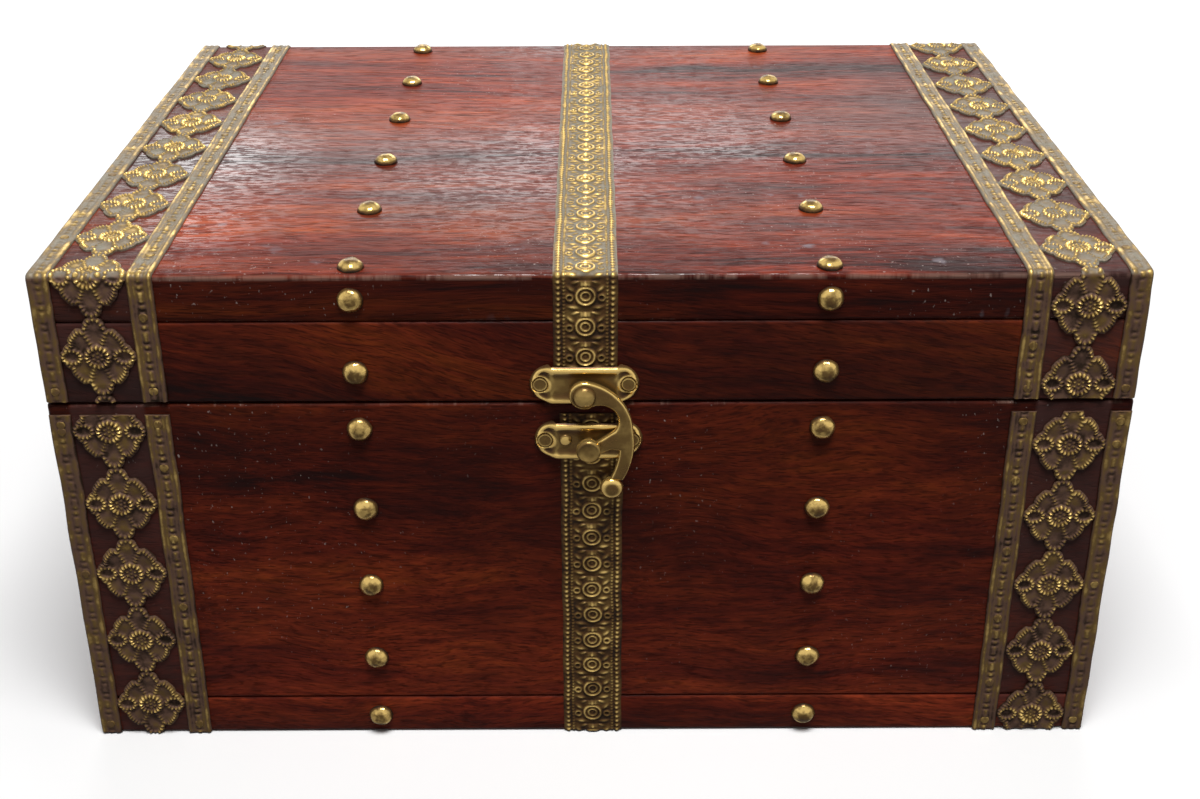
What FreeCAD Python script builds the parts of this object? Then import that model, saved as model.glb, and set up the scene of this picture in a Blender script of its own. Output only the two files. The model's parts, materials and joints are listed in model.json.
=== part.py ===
import FreeCAD, Part
import math
import os
from FreeCAD import Vector

# A lidded wooden keepsake box with pierced brass bands, dome nails, butt hinges and a swing hook clasp.
# Millimetres. Origin at the middle of the underside, +X to the right, -Y to the front, +Z up.

# Box
width = 300.0
depth = 210.0
height = 154.0
lid_height = 39.0
seam_gap = 0.4
wall = 12.0
base_board_thickness = 13.0
lid_board_thickness = 14.0
corner_rebate = 6.0
edge_ease = 1.2
fit_clearance = 0.05

# Brass bands
sheet = 0.6
bend_clearance = 0.2
band_foot = 0.6
band_edge_inset = 0.4
base_band_drop = 3.0
lid_band_rise = 0.9
bevel_margin = 3.0
outer_rail = 6.0
inner_rail = 7.0
field_width = 20.4
medallion_pitch = 23.8
rosette_radius = 4.8
rosette_top_radius = 3.4
rosette_height = 0.7
rosette_sides = 6
base_right_first_medallion = 5.6
base_left_first_medallion = 10.9
lid_right_first_medallion = 4.5
lid_left_first_medallion = 14.0
centre_band_width = 17.4
base_centre_band_x = 0.1
lid_centre_band_x = -1.4
centre_rib_width = 2.4
centre_rib_height = 0.3
boss_pitch = 9.1
boss_radius = 3.6
boss_top_radius = 2.2
boss_height = 0.7
boss_sides = 6
base_first_boss = 6.8
lid_first_boss = 4.4

# A medallion's lobed edge, in shares of half the field (across) and half the pitch (along).
side_lobe_end = (1.0, 0.18)
fan_crest = (0.72, 0.55)
fan_notch = (0.31, 0.72)
tip_neck = (0.11, 0.96)

# Facets: a dome's shoulder and flat crown in shares of its radius and rise, and the steps of round pieces.
head_shoulder = (0.75, 0.67)
head_crown = 0.36
turned_sides = 12
chord_angle = 18.0

# Dome nails
nail_column_shift = 1.75
nail_head_radius = 3.6
nail_head_height = 2.7
nail_sides = 6
nail_shank = 1.8
nail_shank_length = 5.5
nail_depth_clearance = 0.3
wall_nail_count = 4
wall_nail_rise = 15.2
wall_nail_drop = 7.8
rail_nail_rise = 9.6
back_nail_seam_margin = 16.0
lid_edge_nail_margin = 0.6
top_nail_count = 6
top_nail_front_inset = 4.7
top_nail_back_inset = 7.5

# Hinges
hinge_end_inset = 35.0
hinge_length = 50.0
hinge_inset = 3.5
lid_stop_angle = 106.0
leaf_thickness = 1.2
leaf_margin = 0.9
knuckle_radius = 2.4
middle_knuckle_length = 18.0
knuckle_gap = 0.3
pin_radius = 1.1
pin_head_radius = 1.7
pin_head_length = 0.8
barrel_clearance = 0.4
screw_spread = 17.0
screw_head_radius = 1.8
screw_radius = 0.9
screw_length = 8.0
screw_sides = 6

# Swing hook clasp
clasp_x = -1.8
pivot_rise = 4.4
plate_rise = 6.0
plate_width = 30.0
plate_height = 11.4
plate_sheet = 1.0
plate_crown_clearance = 0.3
plate_crown_margin = 0.4
plate_crown_slope = 0.4
plate_pin_spread = 12.5
plate_pin_head_radius = 2.1
plate_pin_top_radius = 1.0
plate_pin_head_height = 1.1
plate_pin_radius = 0.8
plate_pin_sides = 6
fixing_depth = 6.0
hook_clearance = 0.2
hook_thickness = 2.4
hook_eye_radius = 4.2
rivet_radius = 1.8
rivet_head_radius = 3.2
rivet_head_height = 2.0
post_x = 1.1
post_drop = 16.0
post_neck_radius = 1.5
post_head_radius = 3.45
post_head_height = 2.5
hook_post_clearance = 0.3
finger_thickness = 1.3
finger_tip_x = -0.7
tail_ball_radius = 3.3
tail_ball_thickness = 3.4
tail_ball_face_radius = 2.6
tail_ball_centre = (7.5, -29.5)

# The hook's outline, seen from the front and measured from its pivot
eye_shoulder = 1.2
bow_crown = (8.6, 0.0)
bow_side = (13.4, -10.8)
tail_flank = (13.5, -17.0)
tail_end = (10.6, -27.0)
tail_foot = (7.0, -26.5)
tail_waist = (8.8, -21.8)
tail_step = (9.6, -17.3)
beak_low = (7.6, -16.9)
beak_top = (8.4, -11.0)
throat = (6.6, -3.6)
seat_start_angle = -35.0
seat_end_angle = 30.0

# Derived places
seam_height = height - lid_height
base_top = seam_height - seam_gap / 2
lid_bottom = seam_height + seam_gap / 2
lid_board_bottom = height - lid_board_thickness
front_y = -depth / 2
back_y = depth / 2
hinge_x = width / 2 - hinge_end_inset - hinge_length / 2
hinge_y = back_y - hinge_inset
leaf_reach = wall - hinge_inset - leaf_margin
screw_setback = (leaf_reach + knuckle_radius) / 2
bevel_height = hinge_inset * math.tan(math.radians(lid_stop_angle / 2))
bend_radius = edge_ease - bend_clearance
medallion_line_x = width / 2 - band_edge_inset - outer_rail - field_width / 2
panel_end_x = medallion_line_x - field_width / 2 - inner_rail
nail_column_x = (panel_end_x + centre_band_width / 2) / 2 + nail_column_shift
band_proud = sheet + max(rosette_height, boss_height)
crown_under = band_proud + plate_crown_clearance
crown_top = crown_under + plate_sheet
hook_back = crown_top + hook_clearance
hook_front = hook_back + hook_thickness
pivot_z = lid_bottom + pivot_rise
plate_z = lid_bottom + plate_rise
catch_x = clasp_x + post_x
catch_z = pivot_z - post_drop

X = Vector(1, 0, 0)
Z = Vector(0, 0, 1)
FRONT = Vector(0, -1, 0)
BACK = Vector(0, 1, 0)


def box(low, high):
    """A box between two corners."""
    size = [b - a for a, b in zip(low, high)]
    return Part.makeBox(*size, Vector(*low))


def cylinder(radius, start, direction, length):
    return Part.makeCylinder(radius, length, Vector(*start), direction)


def moved(shape, position, rotation):
    """A copy of a piece, turned about the origin and then carried to its place."""
    place = FreeCAD.Placement(Vector(*position), rotation)
    copy = shape.copy()
    copy.Placement = place.multiply(shape.Placement)
    return copy


def aimed(shape, position, outward):
    """Turn a piece modelled along +Z to point outward, and move it to its place."""
    return moved(shape, position, FreeCAD.Rotation(Z, outward))


def ring(radius, sides, level, centre=(0.0, 0.0)):
    """The corners of a regular polygon of the given outer radius at one level."""
    corners = []
    for number in range(sides):
        angle = 2 * math.pi * (number + 0.5) / sides
        x = centre[0] + radius * math.cos(angle)
        y = centre[1] + radius * math.sin(angle)
        corners.append(Vector(x, y, level))
    return corners


def flat_face(corners):
    return Part.Face(Part.makePolygon(corners + corners[:1]))


def facetted(rings):
    """A solid with flat facets through rings of corners, from the lowest ring to the highest."""
    faces = [flat_face(rings[0]), flat_face(rings[-1])]
    for low, high in zip(rings, rings[1:]):
        for number in range(len(low)):
            after = (number + 1) % len(low)
            faces.append(flat_face([low[number], low[after], high[after], high[number]]))
    shell = Part.makeShell(faces)
    shell.sewShape()
    return Part.makeSolid(shell)


def domed_head(radius, rise, level, sides):
    """A low dome with flat facets, standing on a level."""
    return facetted([
        ring(radius, sides, level),
        ring(radius * head_shoulder[0], sides, level + rise * head_shoulder[1]),
        ring(radius * head_crown, sides, level + rise),
    ])


def eased(board, edge_test):
    """Plane off the sharp edges of a board whose middle passes the test."""
    edges = [edge for edge in board.Edges if edge_test(edge.BoundBox)]
    return board.makeChamfer(edge_ease, edges)


def outer_corner(bounds):
    """Upright edges at the box's four outer corners."""
    upright = bounds.ZLength > max(bounds.XLength, bounds.YLength)
    at_side = abs(abs(bounds.Center.x) - width / 2) < fit_clearance
    at_face = abs(abs(bounds.Center.y) - depth / 2) < fit_clearance
    return upright and at_side and at_face


# Nails

def even_places(first, last, count):
    return [first + (last - first) * number / (count - 1) for number in range(count)]


def nail_places():
    """Each nail group's places and outward direction. Back nails keep clear of the opening seam."""
    wall_first = base_board_thickness + wall_nail_rise
    board_edge = [base_board_thickness / 2]
    base_front = board_edge + even_places(wall_first, base_top - wall_nail_drop, wall_nail_count)
    base_back = board_edge + even_places(wall_first, base_top - back_nail_seam_margin, wall_nail_count)
    lid_edge = height - nail_shank_length - nail_depth_clearance - nail_shank / 2 - lid_edge_nail_margin
    lid_front = [lid_bottom + rail_nail_rise, lid_edge]
    lid_back = [lid_bottom + back_nail_seam_margin, lid_edge]
    top_rows = even_places(front_y + top_nail_front_inset, back_y - top_nail_back_inset, top_nail_count)
    columns = (-nail_column_x, nail_column_x)
    return {
        "base_front_nails": ([(x, front_y, z) for x in columns for z in base_front], FRONT),
        "base_back_nails": ([(x, back_y, z) for x in columns for z in base_back], BACK),
        "lid_front_nails": ([(x, front_y, z) for x in columns for z in lid_front], FRONT),
        "lid_back_nails": ([(x, back_y, z) for x in columns for z in lid_back], BACK),
        "lid_top_nails": ([(x, y, height) for x in columns for y in top_rows], Z),
    }


def nail():
    """A domed head over a square shank, pointing along +Z with its seat at zero."""
    head = domed_head(nail_head_radius, nail_head_height, 0, nail_sides)
    half = nail_shank / 2
    shank = box((-half, -half, -nail_shank_length), (half, half, 0))
    return head.fuse(shank)


def nail_hole():
    half = nail_shank / 2 + fit_clearance
    return box((-half, -half, -nail_shank_length - nail_depth_clearance), (half, half, nail_shank))


def nail_holes():
    holes = []
    for places, outward in nail_places().values():
        holes += [aimed(nail_hole(), place, outward) for place in places]
    return holes


def drilled(board, tools):
    """Cut the tools that reach into a board."""
    near = [tool for tool in tools if tool.BoundBox.intersect(board.BoundBox)]
    return board.cut(near) if near else board


# Hinges

def hinge_axis_start(x, offset):
    return (x + offset, hinge_y, seam_height)


def knuckle_spans():
    """The two outer knuckles of the base leaf and the middle one of the lid leaf, along the pin."""
    half = hinge_length / 2
    middle = middle_knuckle_length / 2
    outer = [(-half, -middle - knuckle_gap), (middle + knuckle_gap, half)]
    return outer, [(-middle, middle)]


def barrel(x, spans, radius, margin=0.0):
    """Cylinders on the hinge axis over the given spans."""
    pieces = []
    for start, end in spans:
        length = end - start + 2 * margin
        pieces.append(cylinder(radius, hinge_axis_start(x, start - margin), X, length))
    return pieces


def knuckles(x, spans):
    """A leaf's rolled knuckles, with flat facets."""
    pieces = []
    for start, end in spans:
        roll = facetted([ring(knuckle_radius, turned_sides, level) for level in (start, end)])
        pieces.append(aimed(roll, hinge_axis_start(x, 0), X))
    return pieces


def screw_places(x):
    return [(x + side * screw_spread, hinge_y - screw_setback) for side in (-1, 1)]


def screw(clearance=0.0):
    """A countersunk wood screw pointing down, its head flush with zero."""
    shank_radius = screw_radius + clearance
    return facetted([
        ring(shank_radius, screw_sides, -screw_length - clearance),
        ring(shank_radius, screw_sides, -leaf_thickness),
        ring(screw_head_radius + clearance, screw_sides, 0),
    ])


def hinge_screws(x, face_z, outward, clearance=0.0):
    return [aimed(screw(clearance), (sx, sy, face_z), outward) for sx, sy in screw_places(x)]


def hinge_leaf(x, own_spans, other_spans, low_z, high_z, face_z, outward):
    half = hinge_length / 2
    plate = box((x - half, hinge_y - leaf_reach, low_z), (x + half, hinge_y, high_z))
    leaf = plate.cut(barrel(x, other_spans, knuckle_radius + knuckle_gap, knuckle_gap))
    leaf = leaf.fuse(knuckles(x, own_spans))
    bore = barrel(x, [(-half, half)], pin_radius + fit_clearance, fit_clearance)
    return leaf.cut(bore + hinge_screws(x, face_z, outward, fit_clearance)).removeSplitter()


def hinge_pin(x):
    """The pin with a facetted head at each end."""
    half = hinge_length / 2 + fit_clearance
    pin = barrel(x, [(-half, half)], pin_radius)[0]
    head = facetted([ring(pin_head_radius, turned_sides, level) for level in (half, half + pin_head_length)])
    return pin.fuse([aimed(head, hinge_axis_start(x, 0), side * X) for side in (-1, 1)])


def hinge_recess(low_z, high_z):
    """What the hinges need cut from a back board: the barrel's notch and the leaf's mortise."""
    tools = []
    for x in (-hinge_x, hinge_x):
        half = hinge_length / 2 + pin_head_length + barrel_clearance
        tools += barrel(x, [(-half, half)], knuckle_radius + barrel_clearance)
        half = hinge_length / 2 + fit_clearance
        low = (x - half, hinge_y - leaf_reach - fit_clearance, low_z)
        tools.append(box(low, (x + half, hinge_y, high_z)))
    return tools


def back_bevel(side):
    """The wedge planed off a back edge; side is -1 for the base and 1 for the lid."""
    reach = hinge_inset * 2
    slope = math.tan(math.radians(lid_stop_angle / 2))
    corners = [
        Vector(-width, hinge_y, seam_height),
        Vector(-width, hinge_y + reach, seam_height + side * reach * slope),
        Vector(-width, hinge_y + reach, seam_height),
    ]
    return flat_face(corners).extrude(Vector(2 * width, 0, 0))


# Boards

def upright_boards(low_z, high_z):
    """Front and back boards with rebated ends, and the end boards let into them."""
    half = width / 2
    seat = depth / 2 - wall + corner_rebate
    boards = {}
    for name, side in (("front", -1), ("back", 1)):
        ys = sorted((side * depth / 2, side * (depth / 2 - wall)))
        board = box((-half, ys[0], low_z), (half, ys[1], high_z))
        rebates = []
        for end in (-1, 1):
            xs = sorted((end * half, end * (half - wall)))
            inner = sorted((side * (depth / 2 - wall), side * seat))
            rebates.append(box((xs[0], inner[0], low_z), (xs[1], inner[1], high_z)))
        boards[name] = eased(board.cut(rebates), outer_corner)
    for name, end in (("left", -1), ("right", 1)):
        xs = sorted((end * half, end * (half - wall)))
        boards[name] = box((xs[0], -seat, low_z), (xs[1], seat, high_z))
    return boards


def base_boards(holes):
    half = width / 2
    floor_board = box((-half, front_y, 0), (half, back_y, base_board_thickness))
    floor_board = eased(floor_board, outer_corner)
    walls = upright_boards(base_board_thickness, base_top)
    recess = hinge_recess(base_top - leaf_thickness, seam_height)
    walls["back"] = walls["back"].cut([back_bevel(-1)] + recess)
    nodes = {"base_board": drilled(floor_board, holes)}
    for name, board in walls.items():
        nodes[name + "_wall"] = drilled(board, holes)
    return nodes


def lid_boards(holes):
    half = width / 2
    board = box((-half, front_y, lid_board_bottom), (half, back_y, height))

    def top_or_corner(bounds):
        return outer_corner(bounds) or abs(bounds.ZMin - height) < fit_clearance

    board = eased(board, top_or_corner)
    rails = upright_boards(lid_bottom, lid_board_bottom)
    recess = hinge_recess(seam_height, lid_bottom + leaf_thickness)
    rails["back"] = rails["back"].cut([back_bevel(1)] + recess)
    nodes = {"lid_top_board": drilled(board, holes)}
    for name, rail in rails.items():
        nodes["lid_" + name + "_rail"] = drilled(rail, holes)
    return nodes


# Bands, first laid flat: x across, y along the strip, z up from the wood

def pierced_opening(side, middle):
    """The opening between two medallions and a rail, edged by their lobes."""
    half_field = field_width / 2
    half_pitch = medallion_pitch / 2
    lobes = (side_lobe_end, fan_crest, fan_notch, tip_neck)

    def corner(share, end):
        across, along = share
        return Vector(side * across * half_field, middle + end * (1 - along) * half_pitch, -sheet)

    near = [corner(share, -1) for share in lobes]
    far = [corner(share, 1) for share in reversed(lobes)]
    return flat_face(near + far).extrude(Vector(0, 0, 3 * sheet))


def repeats(first, pitch, start, end):
    """Places of a repeat that fall within a pitch of a stretch of the strip."""
    number = math.floor((start - first) / pitch)
    places = []
    while first + number * pitch <= end + pitch:
        places.append(first + number * pitch)
        number += 1
    return places


def studs(places, radius, top_radius, rise, sides, start, end):
    """Raised studs along a strip, cut off where the stretch ends."""
    stretch = box((-width, start, 0), (width, end, sheet + rise))
    pieces = []
    for place in places:
        if start - radius < place < end + radius:
            foot = ring(radius, sides, 0, (0, place))
            skirt = ring(radius, sides, sheet, (0, place))
            top = ring(top_radius, sides, sheet + rise, (0, place))
            stud = facetted([foot, skirt, top])
            inside = start + radius <= place <= end - radius
            pieces.append(stud if inside else stud.common(stretch))
    return pieces


def end_band_stretch(side, first, start, end):
    """A flat stretch of an end band; side is 1 where its outer rail lies at +x."""
    edges = sorted((side * (field_width / 2 + outer_rail), -side * (field_width / 2 + inner_rail)))
    strip = box((edges[0], start, 0), (edges[1], end, sheet))
    centres = repeats(first, medallion_pitch, start, end)
    openings = []
    for centre in centres:
        openings += [pierced_opening(hand, centre + medallion_pitch / 2) for hand in (-1, 1)]
    strip = drilled(strip, openings)
    rosettes = studs(centres, rosette_radius, rosette_top_radius, rosette_height, rosette_sides, start, end)
    return strip.fuse(rosettes).removeSplitter()


def centre_band_stretch(first, start, end):
    """A flat stretch of the centre band: raised borders and a row of bosses."""
    half = centre_band_width / 2
    strip = box((-half, start, 0), (half, end, sheet))
    ribs = []
    for side in (-1, 1):
        xs = sorted((side * half, side * (half - centre_rib_width)))
        ribs.append(box((xs[0], start, 0), (xs[1], end, sheet + centre_rib_height)))
    centres = repeats(first, boss_pitch, start, end)
    bosses = studs(centres, boss_radius, boss_top_radius, boss_height, boss_sides, start, end)
    return strip.fuse(ribs + bosses).removeSplitter()


def on_front(shape, x, z):
    """Stand a flat piece against the front face, its origin at x and height z."""
    return moved(shape, (x, front_y, z), FreeCAD.Rotation(X, 90))


def down_back(shape, x, z):
    """Stand a flat piece against the back face, running down from height z."""
    return moved(shape, (x, back_y, z), FreeCAD.Rotation(X, -90))


def bend(stretch, y, on_plane):
    """Carry a stretch's end section round an eased edge of the lid."""
    pivot = Vector(0, y, height - bend_radius)
    ends = [face for face in stretch.Faces if on_plane(face.BoundBox)]
    return [face.revolve(pivot, Vector(-1, 0, 0), 90) for face in ends]


def lid_band(make_stretch, x):
    """One strip over the lid: up the front, over the top and down the back."""
    front_foot = lid_bottom + lid_band_rise
    back_foot = seam_height + bevel_height + bevel_margin
    rise = height - bend_radius - front_foot
    across = depth - 2 * bend_radius
    fall = height - bend_radius - back_foot
    front = on_front(make_stretch(0, rise), x, front_foot)
    flat = make_stretch(rise, rise + across)
    top = moved(flat, (x, front_y + bend_radius - rise, height), FreeCAD.Rotation())
    flat = make_stretch(rise + across, rise + across + fall)
    back = down_back(flat, x, height - bend_radius + rise + across)

    def front_end(bounds):
        return bounds.ZMin > height - bend_radius - fit_clearance

    def top_end(bounds):
        return bounds.YMin > back_y - bend_radius - fit_clearance

    bends = bend(front, front_y + bend_radius, front_end) + bend(top, back_y - bend_radius, top_end)
    return front.fuse(bends + [top, back])


def bands(rivet_hole, post_hole):
    front_length = base_top - base_band_drop - band_foot
    back_length = seam_height - bevel_height - bevel_margin - band_foot
    nodes = {}
    sides = (
        ("left", -1, base_left_first_medallion, lid_left_first_medallion),
        ("right", 1, base_right_first_medallion, lid_right_first_medallion),
    )
    for name, side, base_first, lid_first in sides:
        x = side * medallion_line_x
        flat = end_band_stretch(side, base_first, 0, front_length)
        nodes["base_front_band_" + name] = on_front(flat, x, band_foot)
        flat = end_band_stretch(side, back_length - base_first, 0, back_length)
        nodes["base_back_band_" + name] = down_back(flat, x, band_foot + back_length)

        def stretch(start, end):
            return end_band_stretch(side, lid_first, start, end)

        nodes["lid_band_" + name] = lid_band(stretch, x)

    def centre_stretch(start, end):
        return centre_band_stretch(lid_first_boss, start, end)

    front = centre_band_stretch(base_first_boss, 0, front_length)
    front = on_front(front, base_centre_band_x, band_foot)
    nodes["base_front_band_centre"] = front.cut(post_hole)
    back = centre_band_stretch(back_length - base_first_boss, 0, back_length)
    nodes["base_back_band_centre"] = down_back(back, base_centre_band_x, band_foot + back_length)
    nodes["lid_band_centre"] = lid_band(centre_stretch, lid_centre_band_x).cut(rivet_hole)
    return nodes


# Clasp, first laid flat: x to the right, y up, z out from the front

def pin_bore(centre, low, high):
    """A hole that a plate pin's shank fits."""
    radius = plate_pin_radius + fit_clearance
    return facetted([ring(radius, plate_pin_sides, level, centre) for level in (low, high)])


def clasp_plate(bore_offset, bore_radius):
    """A stamped plate with round ends whose crown bridges the centre band."""
    half = plate_width / 2
    round_end = plate_height / 2
    foot = (centre_band_width + abs(lid_centre_band_x - base_centre_band_x)) / 2 + plate_crown_margin
    crown = foot - plate_crown_slope
    wall_step = plate_sheet / 2
    section = [
        (-half, 0), (-foot, 0), (-crown, crown_under), (crown, crown_under), (foot, 0), (half, 0),
        (half, plate_sheet), (foot + wall_step, plate_sheet), (crown + wall_step, crown_top),
        (-crown - wall_step, crown_top), (-foot - wall_step, plate_sheet), (-half, plate_sheet),
    ]
    corners = [Vector(x, -round_end, z) for x, z in section]
    blank = flat_face(corners).extrude(Vector(0, plate_height, 0))
    straight = half - round_end
    outline = box((-straight, -round_end, 0), (straight, round_end, crown_top))
    corner_radius = round_end / math.cos(math.pi / turned_sides)
    ends = []
    for centre in (-straight, straight):
        ends.append(facetted([ring(corner_radius, turned_sides, z, (centre, 0)) for z in (0, crown_top)]))
    plate = blank.common(outline.fuse(ends).removeSplitter())
    holes = [pin_bore((side * plate_pin_spread, 0), 0, crown_top) for side in (-1, 1)]
    holes.append(cylinder(bore_radius + fit_clearance, (bore_offset[0], bore_offset[1], 0), Z, crown_top))
    return plate.cut(holes)


def plate_pin():
    """A pin through a plate's ear and into the wood, with a tapered round head."""
    return facetted([
        ring(plate_pin_radius, plate_pin_sides, -fixing_depth),
        ring(plate_pin_radius, plate_pin_sides, plate_sheet),
        ring(plate_pin_head_radius, plate_pin_sides, plate_sheet),
        ring(plate_pin_top_radius, plate_pin_sides, plate_sheet + plate_pin_head_height),
    ])


def plate_pin_places(x, z):
    return [(x + side * plate_pin_spread, z) for side in (-1, 1)]


def plate_pins(x, z):
    return Part.makeCompound([on_front(plate_pin(), *place) for place in plate_pin_places(x, z)])


def plate_pin_holes(x, z):
    hole = pin_bore((0, 0), -fixing_depth - nail_depth_clearance, plate_sheet)
    return [on_front(hole, *place) for place in plate_pin_places(x, z)]


def headed_post(radius, head_radius, head_height, head_level):
    """A round post let into the wood, with a domed head."""
    stem = cylinder(radius, (0, 0, -fixing_depth), Z, fixing_depth + head_level)
    return stem.fuse(domed_head(head_radius, head_height, head_level, turned_sides))


def fixing_hole(radius, x, z):
    """A hole through the band and into the wood behind a post."""
    length = fixing_depth + nail_depth_clearance + crown_under
    hole = cylinder(radius + fit_clearance, (0, 0, -fixing_depth - nail_depth_clearance), Z, length)
    return on_front(hole, x, z)


def chords(start, through, end):
    """Corners along an arc, without its last point."""
    arc = Part.Arc(start, through, end)
    turn = math.degrees(arc.LastParameter - arc.FirstParameter)
    count = math.ceil(turn / chord_angle)
    return arc.toShape().discretize(count + 1)[:-1]


def hook_outline():
    """The C of the hook about its pivot, with the finger that passes under the post's neck."""
    neck = Vector(post_x, -post_drop, 0)
    seat_radius = post_neck_radius + hook_post_clearance
    finger_top = math.hypot(post_x, post_drop) + seat_radius
    finger_low = finger_top + finger_thickness

    def on_circle(radius, x):
        return Vector(x, -math.sqrt(radius ** 2 - x ** 2), 0)

    def seat(angle):
        turn = math.radians(angle)
        return neck + Vector(seat_radius * math.cos(turn), seat_radius * math.sin(turn), 0)

    def point(place):
        return Vector(place[0], place[1], 0)

    eye_rise = math.sqrt(hook_eye_radius ** 2 - eye_shoulder ** 2)
    eye_top = Vector(eye_shoulder, eye_rise, 0)
    eye_low = Vector(eye_shoulder, -eye_rise, 0)
    finger_tip = on_circle(finger_top, finger_tip_x)
    finger_end = on_circle(finger_low, finger_tip_x)
    finger_root = on_circle(finger_low, neck.x + seat_radius)
    tip_bulge = (finger_tip + finger_end) * 0.5 + Vector(-finger_thickness / 2, 0, 0)
    finger_middle = on_circle(finger_top, (neck.x + finger_tip_x) / 2)
    seat_foot = neck * (finger_top / neck.Length)
    seat_end = seat(seat_end_angle)
    corners = chords(eye_top, point(bow_crown), point(bow_side))
    corners += chords(point(bow_side), point(tail_flank), point(tail_end))
    corners.append(point(tail_end))
    corners += chords(point(tail_foot), point(tail_waist), point(tail_step))
    corners += [point(tail_step), point(beak_low)]
    corners += chords(finger_root, on_circle(finger_low, neck.x), finger_end)
    corners += chords(finger_end, tip_bulge, finger_tip)
    corners += chords(finger_tip, finger_middle, seat_foot)
    corners += chords(seat_foot, seat(seat_start_angle), seat_end)
    corners.append(seat_end)
    corners += chords(point(beak_top), point(throat), eye_low)
    corners += chords(eye_low, Vector(-hook_eye_radius, 0, 0), eye_top)
    return flat_face(corners)


def tail_button():
    """The round button at the end of the hook's tail, tapered to both faces."""
    half = tail_ball_thickness / 2
    return facetted([
        ring(tail_ball_face_radius, turned_sides, -half),
        ring(tail_ball_radius, turned_sides, 0),
        ring(tail_ball_face_radius, turned_sides, half),
    ])


def clasp_hook():
    """The hook, flat on the crown of its plate, with a round button at the end of its tail."""
    blank = hook_outline()
    blank.translate(Vector(0, 0, hook_back))
    hook = blank.extrude(Vector(0, 0, hook_thickness))
    button = tail_button()
    button.translate(Vector(*tail_ball_centre, hook_back + hook_thickness / 2))
    hook = hook.fuse(button)
    return hook.cut(cylinder(rivet_radius + fit_clearance, (0, 0, hook_back), Z, hook_thickness))


def clasp(rivet, post):
    plate = clasp_plate((0, pivot_z - plate_z), rivet_radius)
    catch = clasp_plate((0, 0), post_neck_radius)
    return {
        "hook_plate": on_front(plate, clasp_x, plate_z),
        "hook_plate_pins": plate_pins(clasp_x, plate_z),
        "hook_rivet": rivet,
        "clasp_hook": on_front(clasp_hook(), clasp_x, pivot_z),
        "catch_plate": on_front(catch, catch_x, catch_z),
        "catch_plate_pins": plate_pins(catch_x, catch_z),
        "catch_post": post,
    }


def hinges():
    outer, middle = knuckle_spans()
    nodes = {}
    base_screws = []
    lid_screws = []
    for name, x in (("left", -hinge_x), ("right", hinge_x)):
        nodes[name + "_hinge_base_leaf"] = hinge_leaf(
            x, outer, middle, base_top - leaf_thickness, base_top, base_top, Z)
        nodes[name + "_hinge_lid_leaf"] = hinge_leaf(
            x, middle, outer, lid_bottom, lid_bottom + leaf_thickness, lid_bottom, -Z)
        nodes[name + "_hinge_pin"] = hinge_pin(x)
        base_screws += hinge_screws(x, base_top, Z)
        lid_screws += hinge_screws(x, lid_bottom, -Z)
    nodes["hinge_base_screws"] = Part.makeCompound(base_screws)
    nodes["hinge_lid_screws"] = Part.makeCompound(lid_screws)
    return nodes


def main():
    rivet_head_level = hook_front + hook_clearance
    post_head_level = hook_front + hook_post_clearance
    rivet = headed_post(rivet_radius, rivet_head_radius, rivet_head_height, rivet_head_level)
    post = headed_post(post_neck_radius, post_head_radius, post_head_height, post_head_level)
    rivet_hole = fixing_hole(rivet_radius, clasp_x, pivot_z)
    post_hole = fixing_hole(post_neck_radius, catch_x, catch_z)
    holes = nail_holes() + [rivet_hole, post_hole]
    holes += plate_pin_holes(clasp_x, plate_z) + plate_pin_holes(catch_x, catch_z)
    for x in (-hinge_x, hinge_x):
        holes += hinge_screws(x, base_top, Z, fit_clearance)
        holes += hinge_screws(x, lid_bottom, -Z, fit_clearance)

    nodes = {}
    nodes.update(base_boards(holes))
    nodes.update(lid_boards(holes))
    nodes.update(hinges())
    nodes.update(bands(rivet_hole, post_hole))
    nodes.update(clasp(on_front(rivet, clasp_x, pivot_z), on_front(post, catch_x, catch_z)))
    for name, (places, outward) in nail_places().items():
        nodes[name] = Part.makeCompound([aimed(nail(), place, outward) for place in places])

    os.makedirs("parts", exist_ok=True)
    for name, shape in nodes.items():
        shape.exportStep("parts/" + name + ".step")


main()
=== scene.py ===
import cmath
import json
import math
import random

import bpy
import numpy as np
from bpy.props import FloatProperty, FloatVectorProperty, PointerProperty
from bpy.types import Operator, Panel, PropertyGroup
from mathutils import Matrix, Vector, noise


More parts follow.
